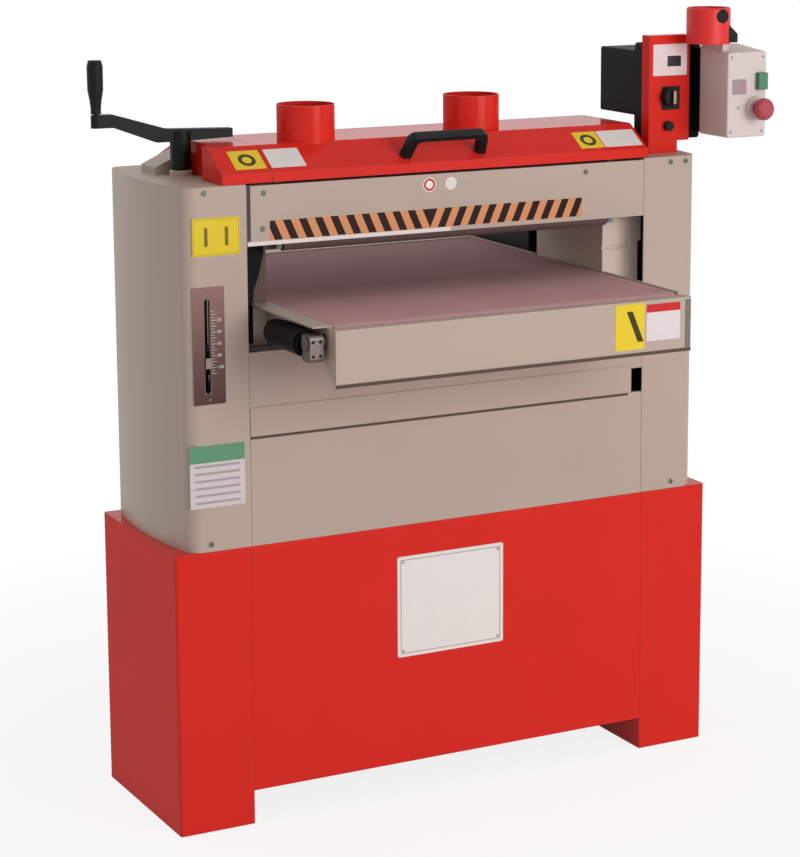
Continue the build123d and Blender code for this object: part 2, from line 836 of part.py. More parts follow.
# Column guides: two rods between a foot plate and a head plate, which also carry the lift screw
guide_head = 1090
guide_inner = 12
guide_outer = 28
guide_y = beam_y1 - 18
end_plate = 10
foot_pin = 7
guide_foot = base_height + end_plate
for name, x, hand in (("left_guide", left_screw_x, -1), ("right_guide", right_screw_x, 1)):
    x0, x1 = sorted((x - hand * guide_inner, x + hand * guide_outer))
    guide = block(x0, x1, -guide_y, guide_y, base_height, guide_foot)
    guide += block(x0, x1, -guide_y, guide_y, guide_head, guide_head + end_plate)
    for y in (-guide_offset, guide_offset):
        guide += round_z(guide_foot, guide_head, x, y, guide_radius)
    guide -= round_z(base_height + 2, guide_foot, x, 0, foot_pin + fit)
    guide -= round_z(guide_head, guide_head + end_plate, x, 0, screw_radius + fit)
    save(guide, name)

# Lift screws: each carries a sprocket at the foot; the left one runs up through its cover to the crank
sprocket_radius = 22
chain_z0 = 513
chain_z1 = 518
chain_width = 5
screw_foot = [
    (0, base_height + 2.5),
    (foot_pin, base_height + 2.5),
    (foot_pin, guide_foot + 1),
    (screw_radius, guide_foot + 1),
    (screw_radius, chain_z0),
    (sprocket_radius, chain_z0),
    (sprocket_radius, chain_z1),
    (screw_radius, chain_z1),
]
crank_hub_top = 1178
left_screw = screw_foot + [(screw_radius, crank_hub_top), (0, crank_hub_top)]
right_screw = screw_foot + [(screw_radius, guide_head + 14), (0, guide_head + 14)]
save(turned_z(left_screw, left_screw_x, 0), "left_lift_screw")
save(turned_z(right_screw, right_screw_x, 0), "right_lift_screw")

# Lift chain: one loop round both sprockets, just above the stand top
chain = band(
    [(right_screw_x, 0, sprocket_radius + gap), (left_screw_x, 0, sprocket_radius + gap)],
    chain_width,
    Plane.XY.offset(chain_z0),
    chain_z1 - chain_z0,
)
save(chain, "lift_chain")

# Crank: a hub, an arm with a short tail and a raised end, and a spindle for the grip
crank_reach = 150
crank_tail = 93
arm_half = 9
upper_bend = 25
lower_bend = 45
flat_end = 28
hub_radius = 18
hub_bottom = crank_ring_top + 2
spindle_radius = 5
grip_x = left_screw_x - crank_reach
tail_z0 = 1178
tail_z1 = 1193
bend_z0 = 1175
bend_z1 = 1197
end_z0 = 1204
end_z1 = 1226
arm_outline = [
    (left_screw_x + crank_tail, tail_z0),
    (left_screw_x + crank_tail, tail_z1),
    (left_screw_x - upper_bend, bend_z1),
    (grip_x + flat_end, end_z1),
    (grip_x, end_z1),
    (grip_x, end_z0),
    (grip_x + flat_end, end_z0),
    (left_screw_x - lower_bend, bend_z0),
    (left_screw_x, bend_z0),
]
arm = along_y(arm_outline, -arm_half, arm_half)
arm += round_z(end_z0, end_z1, grip_x, 0, arm_half)
arm += round_z(hub_bottom, tail_z1, left_screw_x, 0, hub_radius)
arm -= round_z(hub_bottom, crank_hub_top, left_screw_x, 0, screw_radius)
spindle_top = 1313
arm += round_z(end_z1 - 1, spindle_top, grip_x, 0, spindle_radius)
save(arm, "crank_arm")
grip_bottom = end_z1 + 2
grip_top = spindle_top + 4
grip_profile = [
    (spindle_radius + fit, grip_bottom),
    (9, grip_bottom),
    (8.5, grip_bottom + 8),
    (10, grip_bottom + 22),
    (13.2, grip_bottom + 40),
    (13.5, grip_top - 10),
    (11, grip_top),
    (0, grip_top),
    (0, spindle_top + 1),
    (spindle_radius + fit, spindle_top + 1),
]
save(turned_z(grip_profile, grip_x, 0), "crank_grip")

# Lid: a folded hood over both drums, hinged at the back, with two dust outlets and a pull handle
lid_bottom = body_top + 1
lid_top = lid_bottom + lid_rise
lid_front = -half_depth + 4
lid_back = half_depth - 4
lid_sheet = 2.5


def lid_outline(inset):
    """Section of the hood in Y and Z, pulled in by the inset."""
    drop = inset * 1.2
    return [
        (lid_front + inset, lid_bottom),
        (lid_front + inset, lid_bottom + lid_lip - inset * 0.6),
        (lid_front + lid_front_slope + inset * 0.3, lid_top - inset),
        (lid_back - lid_rear_slope - inset * 0.2, lid_top - inset),
        (lid_back - inset, lid_bottom + lid_lip - drop),
        (lid_back - inset, lid_bottom),
    ]


port_radius = 50
port_wall = 2
port_top = 1234
port_foot = 1146
ports = {"left": (-229, -60), "right": (106, -38)}
lid = along_x(lid_outline(0), lid_left, lid_right)
lid -= along_x(lid_outline(lid_sheet), lid_left + lid_sheet, lid_right - lid_sheet)
for x, y in ports.values():
    lid -= round_z(port_foot - 20, port_top, x, y, port_radius)
for x in hinge_places:
    x0, x1 = hinge_knuckle(x, 1)
    lid += block(x0, x1, lid_back - 1, hinge_y, hinge_z - 3, hinge_z + knuckle)
    lid += round_x(x0, x1, hinge_y, hinge_z, knuckle)
    lid += round_x(x - knuckle_length, x + 1, hinge_y, hinge_z, hinge_pin)
save(lid, "hood_lid")
for name, (x, y) in ports.items():
    port = round_z(port_foot, port_top, x, y, port_radius)
    port -= round_z(port_foot, port_top, x, y, port_radius - port_wall)
    save(port, f"{name}_dust_port")

# Lid end: the fixed end of the hood on the left column. It reaches furthest at the front and is cut back
# beside the crank, so the lid can swing past the crank
end_right = lid_left - 1
crank_side = -412
cut_front = -80


def crank_cut(wall):
    """Plan of the room left for the crank, pushed into the hood by the wall."""
    shift = cut_front - cap_left - wall * 2 ** 0.5
    edge = cap_left - 1
    return [
        (edge, edge + shift),
        (crank_side + wall, crank_side + wall + shift),
        (crank_side + wall, lid_back + 1),
        (edge, lid_back + 1),
    ]


def end_hood(wall):
    """The hood end as a full body, pulled in by the wall."""
    hood = along_x(lid_outline(wall), cap_left + wall, end_right)
    return hood - along_z(crank_cut(wall), body_top, lid_top + 1)


lid_end = end_hood(0) - end_hood(lid_sheet)
end_foot = 20
for left, y0 in ((cap_left, lid_front), (crank_side, lid_back - end_foot)):
    lid_end += block(left, -column_inner, y0, y0 + end_foot, body_top, lid_bottom + lid_sheet)
save(lid_end, "hood_end")

# Lid handle: a moulded bow on the front slope, with round shoulders and legs that lean inwards
slope_angle = degrees(atan2(lid_rise - lid_lip, lid_front_slope))
handle_place = 0.3
handle_x = -9
handle_half = 82
handle_leg = 18
handle_rise = 46
handle_bar = 13
handle_depth = 18
handle_lean = 6


def bow(half, rise, lean, radius):
    """One edge of the handle: a trapezoid with two round shoulders."""
    corners = [(-half, 0), (half, 0), (half - lean, rise), (lean - half, rise)]
    face = make_face(Polyline(*corners, close=True))
    return fillet(face.vertices().group_by(Axis.Y)[-1], radius)


bow_face = bow(handle_half, handle_rise, handle_lean, 17)
bow_face -= bow(handle_half - handle_leg, handle_rise - handle_bar, handle_lean, 8)
handle = Pos(0, handle_depth / 2, 0) * Rot(90, 0, 0) * extrude(bow_face, amount=handle_depth)
handle = fillet(handle.edges().filter_by(Axis.Y, reverse=True).filter_by(lambda e: e.center().Z > 1), 4)
handle_y = lid_front + lid_front_slope * handle_place
handle_z = lid_bottom + lid_lip + (lid_rise - lid_lip) * handle_place
save(Pos(handle_x, handle_y, handle_z) * Rot(slope_angle, 0, 0) * handle, "hood_handle")

# Control post: a folded upright on the right column with a narrow foot
post_x0 = 430
post_x1 = 517
post_front = -120
post_back = -95
post_top = 1331
post_neck = body_top + 22
neck_x1 = post_x1 - 25
post_sheet = 2
post_outline = [
    (post_x0, body_top),
    (neck_x1, body_top),
    (neck_x1, post_neck),
    (post_x1, post_neck),
    (post_x1, post_top),
    (post_x0, post_top),
]
post = along_y(post_outline, post_front, post_back)
post_skin = post_front + post_sheet
hollow_x0 = post_x0 + post_sheet
hollow_x1 = post_x1 - post_sheet
post -= block(hollow_x0, hollow_x1, post_skin, post_back, post_neck + post_sheet, post_top - post_sheet)
post -= block(hollow_x0, neck_x1 - post_sheet, post_skin, post_back, body_top + 3, post_neck + 3)
knob_x = 470
knob_z = 1219
button_z = 1166
knob_stem = 4
button_stem = 7
post -= round_y(post_front, post_skin, knob_x, knob_z, knob_stem + gap)
post -= round_y(post_front, post_skin, knob_x, button_z, button_stem + gap)
display_x0 = 438
display_x1 = 512
display_z0 = 1257
display_z1 = 1315
post -= block(display_x0, display_x1, post_front, post_skin, display_z0, display_z1)
post += block(display_x0 - 2, display_x1 + 2, post_skin, post_skin + 10, display_z0 - 2, display_z1 + 2)
save(post, "control_post")

# Controller: the black drive housing behind the post, with a wide flange and an arm for the switch box
flange_x0 = 432
flange_x1 = 556
flange_depth = 28
flange_bottom = 1138
flange_top = 1316
housing_x0 = 440
housing_x1 = 540
housing_bottom = 1181
housing_top = 1300
housing_back = 65
arm_width = 19
arm_bottom = 1152
arm_top = 1306
switch_back = -130
controller = block(flange_x0, flange_x1, post_back, post_back + flange_depth, flange_bottom, flange_top)
controller = fillet(controller.edges().filter_by(Axis.Y), 6)
housing_front = post_back + flange_depth - 1
housing = block(housing_x0, housing_x1, housing_front, housing_back, housing_bottom, housing_top)
controller += fillet(housing.edges().filter_by(Axis.Y), 4)
controller += block(flange_x1 - arm_width, flange_x1, switch_back, post_back + 1, arm_bottom, arm_top)
save(controller, "controller_box")


def push_button(x, z, face, radius, proud, stem, stem_depth, edge):
    """A round button facing the operator; the stem runs back into its bore."""
    cap = round_y(face - proud, face - 0.5, x, z, radius)
    cap = fillet(cap.edges().group_by(Axis.Y)[0], edge)
    return cap + round_y(face - 1, face + stem_depth, x, z, stem)


# Post controls: the feed speed knob with a raised grip bar, and a small push button
knob_front = post_front - 19
knob_radius = 16
knob = round_y(knob_front, post_front - 0.5, knob_x, knob_z, knob_radius)
knob = fillet(knob.edges().group_by(Axis.Y)[0], 2)
knob += block(knob_x - 4, knob_x + 4, knob_front - 6, knob_front + 1, knob_z - 15, knob_z + 15)
knob += round_y(post_front - 1, post_front + 12, knob_x, knob_z, knob_stem)
save(knob, "speed_knob")
save(push_button(knob_x, button_z, post_front - 4, 9, 7, button_stem, 14, 1.5), "post_button")

# Switch box: a moulded housing with a sloping top, a seat for the power inlet and bores for the two buttons
switch_x0 = 534
switch_x1 = 618
switch_front = -220
switch_bottom = 1149
switch_front_top = 1303
switch_rear_top = 1312
switch_wall = 3
switch_face = 8
start_x = 605
start_z = 1250
stop_x = 595
stop_z = 1201
inlet_x = 528
inlet_y = -163
inlet_radius = 40
inlet_base = 1317


def switch_outline(wall, face):
    """Section of the switch box in Y and Z, pulled in by the wall and, at the front, by the face."""
    return [
        (switch_front + face, switch_bottom + wall),
        (switch_back - wall, switch_bottom + wall),
        (switch_back - wall, switch_rear_top - wall),
        (switch_front + face, switch_front_top - wall),
    ]


switch = along_x(switch_outline(0, 0), switch_x0, switch_x1)
switch = fillet(switch.edges().filter_by(lambda e: abs(e.tangent_at(0.5).Y) > 0.9), 5)
switch = fillet(switch.faces().sort_by(Axis.Y)[0].edges(), 3)
switch -= along_x(switch_outline(switch_wall, switch_face), switch_x0 + switch_wall, switch_x1 - switch_wall)
inlet_seat = round_z(switch_front_top - switch_wall, inlet_base, inlet_x, inlet_y, inlet_radius - 2)
switch += inlet_seat & block(switch_x0 + 1, switch_x1, switch_front, switch_back, switch_bottom, inlet_base)
collar_front = switch_front - 8
collar_radius = 22
stop_stem = 11
stem_back = switch_front + 14
switch += round_y(collar_front, switch_front + 1, stop_x, stop_z, collar_radius)
switch -= round_y(collar_front, switch_front + switch_face, stop_x, stop_z, stop_stem + gap)
button_w = 20
button_h = 30
switch -= block(
    start_x - button_w / 2 - gap,
    start_x + button_w / 2 + gap,
    switch_front,
    switch_front + switch_face,
    start_z - button_h / 2 - gap,
    start_z + button_h / 2 + gap,
)
save(switch, "switch_box")
start = block(
    start_x - button_w / 2,
    start_x + button_w / 2,
    switch_front - 11,
    stem_back,
    start_z - button_h / 2,
    start_z + button_h / 2,
)
start = fillet(start.faces().sort_by(Axis.Y)[0].edges(), 2)
save(start, "start_button")

# Stop button: a mushroom head on a stem
head_front = switch_front - 38
head_back = head_front + 17
head_radius = 20
stop_profile = [
    (0, head_front),
    (stop_stem, head_front),
    (head_radius - 3, head_front + 3),
    (head_radius, head_front + 8),
    (head_radius, head_front + 13),
    (head_radius - 3, head_back),
    (stop_stem, head_back),
    (stop_stem, stem_back),
    (0, stem_back),
]
stop = revolve(Plane.XY * make_face(Polyline(*stop_profile, close=True)), Axis.Y, 360)
save(Pos(stop_x, 0, stop_z) * stop, "stop_button")

# Power inlet: a round shroud with five contact pins, standing on its seat on the switch box
inlet_top = 1382
inlet_floor = inlet_base + 24
pin_top = inlet_base + 56
pin_count = 5
pin_circle = 17
inlet_profile = [
    (0, inlet_base),
    (inlet_radius, inlet_base),
    (inlet_radius, inlet_top - 3),
    (inlet_radius - 2, inlet_top),
    (inlet_radius - 5, inlet_top),
    (inlet_radius - 6, inlet_floor),
    (0, inlet_floor),
]
inlet = turned_z(inlet_profile, inlet_x, inlet_y)
for i in range(pin_count):
    turn = radians(360 / pin_count * i + 90)
    pin_x = inlet_x + pin_circle * cos(turn)
    pin_y = inlet_y + pin_circle * sin(turn)
    inlet += round_z(inlet_floor - 1, pin_top, pin_x, pin_y, 3)
save(inlet, "power_inlet")
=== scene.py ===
import math

import bmesh
import bpy
from mathutils import Matrix, Vector


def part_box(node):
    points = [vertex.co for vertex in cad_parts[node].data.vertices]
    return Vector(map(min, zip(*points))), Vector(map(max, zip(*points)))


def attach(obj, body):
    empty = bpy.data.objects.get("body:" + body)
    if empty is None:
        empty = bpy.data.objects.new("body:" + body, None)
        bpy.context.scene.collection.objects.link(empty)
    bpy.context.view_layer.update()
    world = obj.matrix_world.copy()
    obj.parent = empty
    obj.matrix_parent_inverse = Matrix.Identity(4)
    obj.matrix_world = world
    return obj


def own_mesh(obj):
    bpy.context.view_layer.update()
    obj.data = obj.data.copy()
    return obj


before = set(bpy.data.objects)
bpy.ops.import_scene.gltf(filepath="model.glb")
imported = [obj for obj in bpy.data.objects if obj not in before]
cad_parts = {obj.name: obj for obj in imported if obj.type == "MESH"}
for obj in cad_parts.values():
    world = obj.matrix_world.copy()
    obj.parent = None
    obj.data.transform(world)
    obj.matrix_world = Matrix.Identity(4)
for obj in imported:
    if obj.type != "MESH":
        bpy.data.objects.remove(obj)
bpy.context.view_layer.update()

# Stand
# Two box legs, a front and a back panel and a top plate, folded from 3 mm sheet steel and coated red.
# The panels are flush between the legs, and the back one is screwed on so that the motor can be reached.


class Shade:
    """A socket of a material. Arithmetic on it adds Math nodes, and add() makes any other node."""

    def __init__(self, tree, socket=None):
        self.tree = tree
        self.socket = socket

    def add(self, kind, settings, inputs, output=0):
        """A node of that kind, with its settings first and then the values or links of its sockets."""
        node = self.tree.nodes.new("ShaderNode" + kind)
        for name, value in settings.items():
            setattr(node, name, value)
        self.feed(node, inputs)
        return Shade(self.tree, node.outputs[output])

    def feed(self, node, inputs):
        for name, value in inputs.items():
            if isinstance(value, Shade):
                self.tree.links.new(value.socket, node.inputs[name])
            else:
                node.inputs[name].default_value = value

    def place(self):
        """Where a point is on the machine."""
        return self.add("TexCoord", {}, {}, "Object")

    def along(self, axis):
        """One axis of a vector."""
        return self.add("SeparateXYZ", {}, {"Vector": self}, axis)

    def mix(self, first, second):
        """A colour between two others, where this value is the share of the second."""
        return self.add("Mix", {"data_type": "RGBA"}, {0: self, 6: first, 7: second}, 2)

    def maths(self, operation, other=0.0):
        return self.add("Math", {"operation": operation}, {0: self, 1: other})

    def __add__(self, other):
        return self.maths("ADD", other)

    __radd__ = __add__

    def __sub__(self, other):
        return self.maths("SUBTRACT", other)

    def __rsub__(self, other):
        return self.add("Math", {"operation": "SUBTRACT"}, {0: other, 1: self})

    def __mul__(self, other):
        return self.maths("MULTIPLY", other)

    __rmul__ = __mul__

    def __truediv__(self, other):
        return self.maths("DIVIDE", other)

    def __rtruediv__(self, other):
        return self.add("Math", {"operation": "DIVIDE"}, {0: other, 1: self})

    def __gt__(self, other):
        return self.maths("GREATER_THAN", other)

    def __lt__(self, other):
        return self.maths("LESS_THAN", other)

    def __abs__(self):
        return self.maths("ABSOLUTE")

    def most(self, other):
        return self.maths("MAXIMUM", other)

    def least(self, other):
        return self.maths("MINIMUM", other)

    def fraction(self):
        return self.maths("FRACT")


def ink(red, green, blue):
    """A colour given as it looks on a screen, from 0 to 255, as the shader's own numbers."""
    parts = [value / 255 for value in (red, green, blue)]
    return tuple(p / 12.92 if p <= 0.04045 else ((p + 0.055) / 1.055) ** 2.4 for p in parts) + (1.0,)


def darker(colour, share):
    return tuple(part * share for part in colour[:3]) + (1.0,)


def new_material(name):
    """A material with its node tree ready for Shade, and its surface shader."""
    material = bpy.data.materials.new(name)
    material.use_nodes = True
    surface = material.node_tree.nodes["Principled BSDF"]
    return material, Shade(material.node_tree), surface


def noise(place, scale, detail=2.0):
    return place.add("TexNoise", {}, {"Vector": place, "Scale": scale, "Detail": detail})


def edge_share(shade, rounding):
    """How near a point is to a sharp edge, from 0 to 1, and the normal of the softened edge."""
    soft = shade.add("Bevel", {"samples": 6}, {"Radius": rounding})
    plain = shade.add("NewGeometry", {}, {}, "Normal")
    same = shade.add("VectorMath", {"operation": "DOT_PRODUCT"}, {0: soft, 1: plain}, "Value")
    return ((1 - same) * 5.0).least(1.0), soft


def coat(name, colour, roughness, relief, grain=300.0, specular=0.35, clear=0.0):
    """A sprayed coat: orange peel, a faint cloud in the colour, and paler where it is thin on edges.

    The clear share adds a gloss that lies thickest on level faces.
    """
    material, shade, surface = new_material(name)
    place = shade.place()
    cloud = noise(place, 5.0, 3.0)
    peel = noise(place, grain)
    edge, soft = edge_share(shade, 0.0014)
    ground = cloud.mix(darker(colour, 0.93), darker(colour, 1.06))
    pale = tuple(0.8 * part + 0.2 for part in colour[:3]) + (1.0,)
    if clear:
        level = soft.along("Z").most(0.0)
        film = level.maths("POWER", 14.0) * 0.45 + 0.2
        shade.feed(surface, {"Coat Weight": film * clear, "Coat IOR": 1.5, "Coat Roughness": 0.14})
    bump = {"Strength": 1.0, "Distance": relief, "Height": peel, "Normal": soft}
    shade.feed(surface, {
        "Base Color": (edge * cloud * 0.5).mix(ground, pale),
        "Roughness": cloud * 0.12 + (roughness - 0.06),
        "Specular IOR Level": specular,
        "Normal": shade.add("Bump", {}, bump),
    })
    return material


def plated_steel(name, colour, roughness, stretch):
    """Bare or plated metal with fine tool marks; the stretch runs them along or round a piece."""
    material, shade, surface = new_material(name)
    place = shade.place()
    marks = noise(shade.add("Mapping", {}, {"Vector": place, "Scale": stretch}), 1.0, 3.0)
    stain = noise(place, 30.0, 4.0)
    shade.feed(surface, {
        "Base Color": (stain * 0.6 + marks * 0.4).mix(darker(colour, 0.82), colour),
        "Metallic": 1.0,
        "Roughness": marks * 0.16 + (roughness - 0.08),
        "Normal": shade.add("Bump", {}, {"Strength": 0.5, "Distance": 0.00005, "Height": marks}),
    })
    return material


def dress(material, *names):
    """Gives carried-over pieces their finish."""
    for name in names:
        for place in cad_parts[name].material_slots:
            place.material = material


def fit_piece(name, form, material, body):
    """Makes a finished form a piece that rides on a body."""
    bmesh.ops.recalc_face_normals(form, faces=form.faces[:])
    mesh = bpy.data.meshes.new(name)
    form.to_mesh(mesh)
    form.free()
    mesh.materials.append(material)
    piece = bpy.data.objects.new(name, mesh)
    bpy.context.scene.collection.objects.link(piece)
    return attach(piece, body)


def ring(form, count, radius, height):
    """The edges of a polygon round the Z axis."""
    lift = Matrix.Translation((0, 0, height))
    corners = bmesh.ops.create_circle(form, segments=count, radius=radius, matrix=lift)["verts"]
    return list({edge for corner in corners for edge in corner.link_edges})


def stack(form, rings):
    """A closed form through rings, each given as its corners, radius and height."""
    loops = [ring(form, count, radius, height) for count, radius, height in rings]
    for low, high in zip(loops, loops[1:]):
        bmesh.ops.bridge_loops(form, edges=low + high)
    for end in (loops[-1], loops[0]):
        bmesh.ops.edgeloop_fill(form, edges=end)


def screw_head(form, seat, radius):
    """A button-head screw with a hexagon socket; the seat's Z axis points out of the surface."""
    before = set(form.verts)
    height = 0.55 * radius
    socket = 0.4 * radius
    stack(form, [
        (20, radius, 0),
        (20, 0.94 * radius, 0.4 * height),
        (20, 0.62 * radius, height),
        (6, socket, height),
        (6, socket, 0.35 * height),
    ])
    bmesh.ops.transform(form, matrix=seat, verts=[v for v in form.verts if v not in before])


FACING_FRONT = Matrix.Rotation(math.pi / 2, 4, "X")
FACING_BACK = Matrix.Rotation(-math.pi / 2, 4, "X")


def screws(name, places, facing, radius, material, body="frame"):
    """A set of like screws on one body."""
    form = bmesh.new()
    for spot in places:
        screw_head(form, Matrix.Translation(spot) @ facing, radius)
    return fit_piece(name, form, material, body)


red = coat("red_powder_coat", ink(211, 42, 33), 0.4, 0.00002, specular=0.0, clear=1.0)
dress(red, "base_left_leg", "base_right_leg", "base_front_panel", "base_rear_panel", "base_top_plate")

zinc = plated_steel("zinc_plated_steel", ink(178, 176, 170), 0.38, (700.0, 700.0, 700.0))
stand_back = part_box("base_rear_panel")[1]
stand_screw_x = stand_back.x - 0.014
stand_screw_heights = (0.095, 0.277, 0.46)
stand_screw_radius = 0.006
screws(
    "stand_back_screws",
    [(side * stand_screw_x, stand_back.y, z) for side in (-1, 1) for z in stand_screw_heights],
    FACING_BACK, stand_screw_radius, zinc,
)

# Front plate
# A plain white enamelled plate with a thin grey line round it, left blank.
# It is fixed flat to the stand's front panel by four small button heads at its corners.


def flat_outline(width, height, corner):
    """A flat face with round corners, lying on the origin."""
    form = bmesh.new()
    bmesh.ops.create_grid(form, x_segments=1, y_segments=1, size=0.5)
    bmesh.ops.scale(form, vec=(width, height, 1.0), verts=form.verts[:])
    bmesh.ops.bevel(
        form, geom=form.verts[:], offset=corner, affect="VERTICES", segments=5, profile=0.5, material=-1
    )
    return form


def thicken(form, thickness):
    """Draws a flat outline up into a plate, and gives the edges of its face."""
    raised = bmesh.ops.extrude_face_region(form, geom=form.faces[:])["geom"]
    face = [part for part in raised if isinstance(part, bmesh.types.BMVert)]
    bmesh.ops.translate(form, vec=(0, 0, thickness), verts=face)
    return [part for part in raised if isinstance(part, bmesh.types.BMEdge)]


def break_edges(form, edges, offset, segments=2):
    """Rounds sharp edges."""
    bmesh.ops.bevel(
        form, geom=edges, offset=offset, affect="EDGES", segments=segments, profile=0.5, material=-1
    )


def rounded_plate(width, height, thickness, corner):
    """A flat plate with round corners and a broken front edge, lying face up on the origin."""
    form = flat_outline(width, height, corner)
    break_edges(form, thicken(form, thickness), 0.3 * thickness)
    return form


def centre(area):
    """The middle of an area that is given as its left, right, bottom and top."""
    left, right, bottom, top = area
    return (left + right) / 2, (bottom + top) / 2


def standing_plate(area, y, thickness, corner):
    """A rounded plate that covers an area of a surface facing the operator."""
    left, right, bottom, top = area
    form = rounded_plate(right - left, top - bottom, thickness, corner)
    x, z = centre(area)
    bmesh.ops.transform(form, matrix=Matrix.Translation((x, y, z)) @ FACING_FRONT, verts=form.verts[:])
    return form


def face_plate(name, area, y, material, thickness, corner, body="frame"):
    """A standing plate as a piece of its own."""
    return fit_piece(name, standing_plate(area, y, thickness, corner), material, body)


def printed(name, ground, draw=None):
    """A printed plate; draw(ground, x, z) lays the inks over the ground colour."""
    material, shade, surface = new_material(name)
    place = shade.place()
    scuff = noise(place, 60.0, 4.0)
    colour = (scuff * 0.3).mix(ground, darker(ground, 0.82))
    if draw:
        colour = draw(colour, place.along("X"), place.along("Z"))
    shade.feed(surface, {
        "Base Color": colour,
        "Roughness": scuff * 0.2 + 0.24,
        "Specular IOR Level": 0.12,
        "Normal": shade.add("Bump", {}, {"Strength": 0.4, "Distance": 0.00004, "Height": scuff}),
    })
    return material


def frame_line(x, z, area, inset, width):
    """1 on a thin line that runs round a plate, a little inside its edge."""
    left, right, bottom, top = area
    middle_x, middle_z = centre(area)
    across = (right - left) / 2 - abs(x - middle_x)
    along = (top - bottom) / 2 - abs(z - middle_z)
    depth = across.least(along)
    return (depth > inset) * (depth < inset + width)


plate_area = (-0.114, 0.099, 0.256, 0.44)
plate_thick = 0.0012
plate_corner = 0.004
plate_line = ink(150, 146, 142)


def draw_front_plate(ground, x, z):
    """A grey line round the plate."""
    return frame_line(x, z, plate_area, inset=0.006, width=0.0015).mix(ground, plate_line)


white_enamel = printed("white_enamel", ink(228, 222, 218), draw_front_plate)
stand_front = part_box("base_front_panel")[0].y
face_plate("front_plate", plate_area, stand_front, white_enamel, plate_thick, plate_corner)
plate_left, plate_right, plate_bottom, plate_top = plate_area
rivet_in = 0.011
rivet_radius = 0.0028
screws(
    "front_plate_rivets",
    [(x, stand_front - plate_thick, z) for x in (plate_left + rivet_in, plate_right - rivet_in)
     for z in (plate_bottom + rivet_in, plate_top - rivet_in)],
    FACING_FRONT, rivet_radius, zinc,
)

# Main motor
# A finned cast motor on a folded channel inside the stand, held by four hexagon bolts through its feet.
# A ribbed rubber belt runs from its steel pulley up to both drums.


def hex_bolt(form, seat, radius):
    """A hexagon bolt head with a chamfered top on a plain washer."""
    washer = (24, 1.75 * radius, 1.7 * radius, 0.25 * radius)
    hexagon = (6, radius, radius, 1.1 * radius)
    crown = (18, 0.86 * radius, 0.7 * radius, 0.12 * radius)
    level = 0.0
    for count, low, high, tall in (washer, hexagon, crown):
        bmesh.ops.create_cone(
            form, cap_ends=True, segments=count, radius1=low, radius2=high, depth=tall,
            matrix=seat @ Matrix.Translation((0, 0, level + tall / 2)),
        )
        level += tall


def bolts(name, places, radius):
    """A set of zinc-plated bolts that stand on the frame."""
    form = bmesh.new()
    for spot in places:
        hex_bolt(form, Matrix.Translation(spot), radius)
    return fit_piece(name, form, zinc, "frame")


def ribbed_rubber(name, colour, pitch):
    """Black rubber with ribs along its run and a dusty bloom."""
    material, shade, surface = new_material(name)
    place = shade.place()
    bloom = noise(place, 45.0, 4.0)
    rib = abs((place.along("X") / pitch).fraction() - 0.5)
    shade.feed(surface, {
        "Base Color": (bloom * 0.5).mix(colour, ink(74, 70, 66)),
        "Roughness": bloom * 0.2 + 0.6,
        "Specular IOR Level": 0.3,
        "Normal": shade.add("Bump", {}, {"Strength": 0.8, "Distance": 0.001, "Height": rib}),
    })
    return material


grey_enamel = coat("grey_enamel", ink(118, 122, 124), 0.42, 0.00008, grain=160.0)
cast_grey = coat("cast_grey", ink(96, 98, 98), 0.6, 0.0004, grain=110.0, specular=0.25)
dress(cast_grey, "main_motor")
dress(grey_enamel, "motor_shelf")
motor_foot_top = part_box("motor_shelf")[1].z + 0.011
motor_bolt_radius = 0.009
bolts(
    "motor_bolts",
    [(x, y, motor_foot_top) for x in (0.11, 0.25) for y in (-0.095, 0.095)],
    motor_bolt_radius,
)
turned_steel = plated_steel("turned_steel", ink(168, 168, 166), 0.34, (2600.0, 40.0, 40.0))
dress(turned_steel, "motor_pulley", "front_drum_pulley", "rear_drum_pulley")
belt_rib = 0.0047
dress(ribbed_rubber("belt_rubber", ink(28, 27, 26), belt_rib), "drum_belt")

# Side frames
# Two steel plates with front and back posts stand on the stand's top beside the feed belt. Their beige is
# paler than the covers' as painted light, to lift the throat's shade. Each carries a cast bridge with two
# pillow blocks, bolted to its ledge.
# Painted light: the side frames' beige is paler than the covers' beige.
painted_light_beige = coat("painted_light_beige_coat", ink(207, 188, 174), 0.5, 0.00003, specular=0.3)
dress(painted_light_beige, "left_side_frame", "right_side_frame")
cast_iron = coat("cast_iron", ink(84, 84, 82), 0.62, 0.0006, grain=140.0, specular=0.25)
dress(cast_iron, "left_bearing_bridge", "right_bearing_bridge")
bridge_bar = 0.012
bridge_bolt_in = 0.009
bridge_bolt_radius = 0.0065
for side in ("left", "right"):
    low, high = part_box(side + "_bearing_bridge")
    bolt_x = (low.x + high.x) / 2
    bolt_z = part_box(side + "_side_frame")[1].z + bridge_bar
    bolts(
        side + "_bridge_bolts",
        [(bolt_x, y, bolt_z) for y in (low.y + bridge_bolt_in, high.y - bridge_bolt_in)],
        bridge_bolt_radius,
    )

# Sanding drums
# Turned alloy drums on steel shafts, each wrapped in a strip of brown abrasive cloth wound as a spiral.
# The strip's butted edge shows as a dark line that climbs along the drum.


def abrasive_cloth(name, colour, axis_y, axis_z, strip):
    """Closed-coat grit on cloth; the wound strip's joint is a fine dark helix."""
    material, shade, surface = new_material(name)
    place = shade.place()
    grit = noise(place, 1600.0)
    wear = noise(place, 25.0, 3.0)
    turn = (place.along("Z") - axis_z).maths("ARCTAN2", place.along("Y") - axis_y) / (2 * math.pi)
    joint = abs((place.along("X") / strip + turn).fraction() - 0.5) < 0.004
    ground = (grit * 0.7 + wear * 0.3).mix(darker(colour, 0.55), darker(colour, 1.25))
    shade.feed(surface, {
        "Base Color": joint.mix(ground, darker(colour, 0.3)),
        "Roughness": 0.88,
        "Specular IOR Level": 0.2,
        "Normal": shade.add("Bump", {}, {"Strength": 0.7, "Distance": 0.0004, "Height": grit}),
    })
    return material


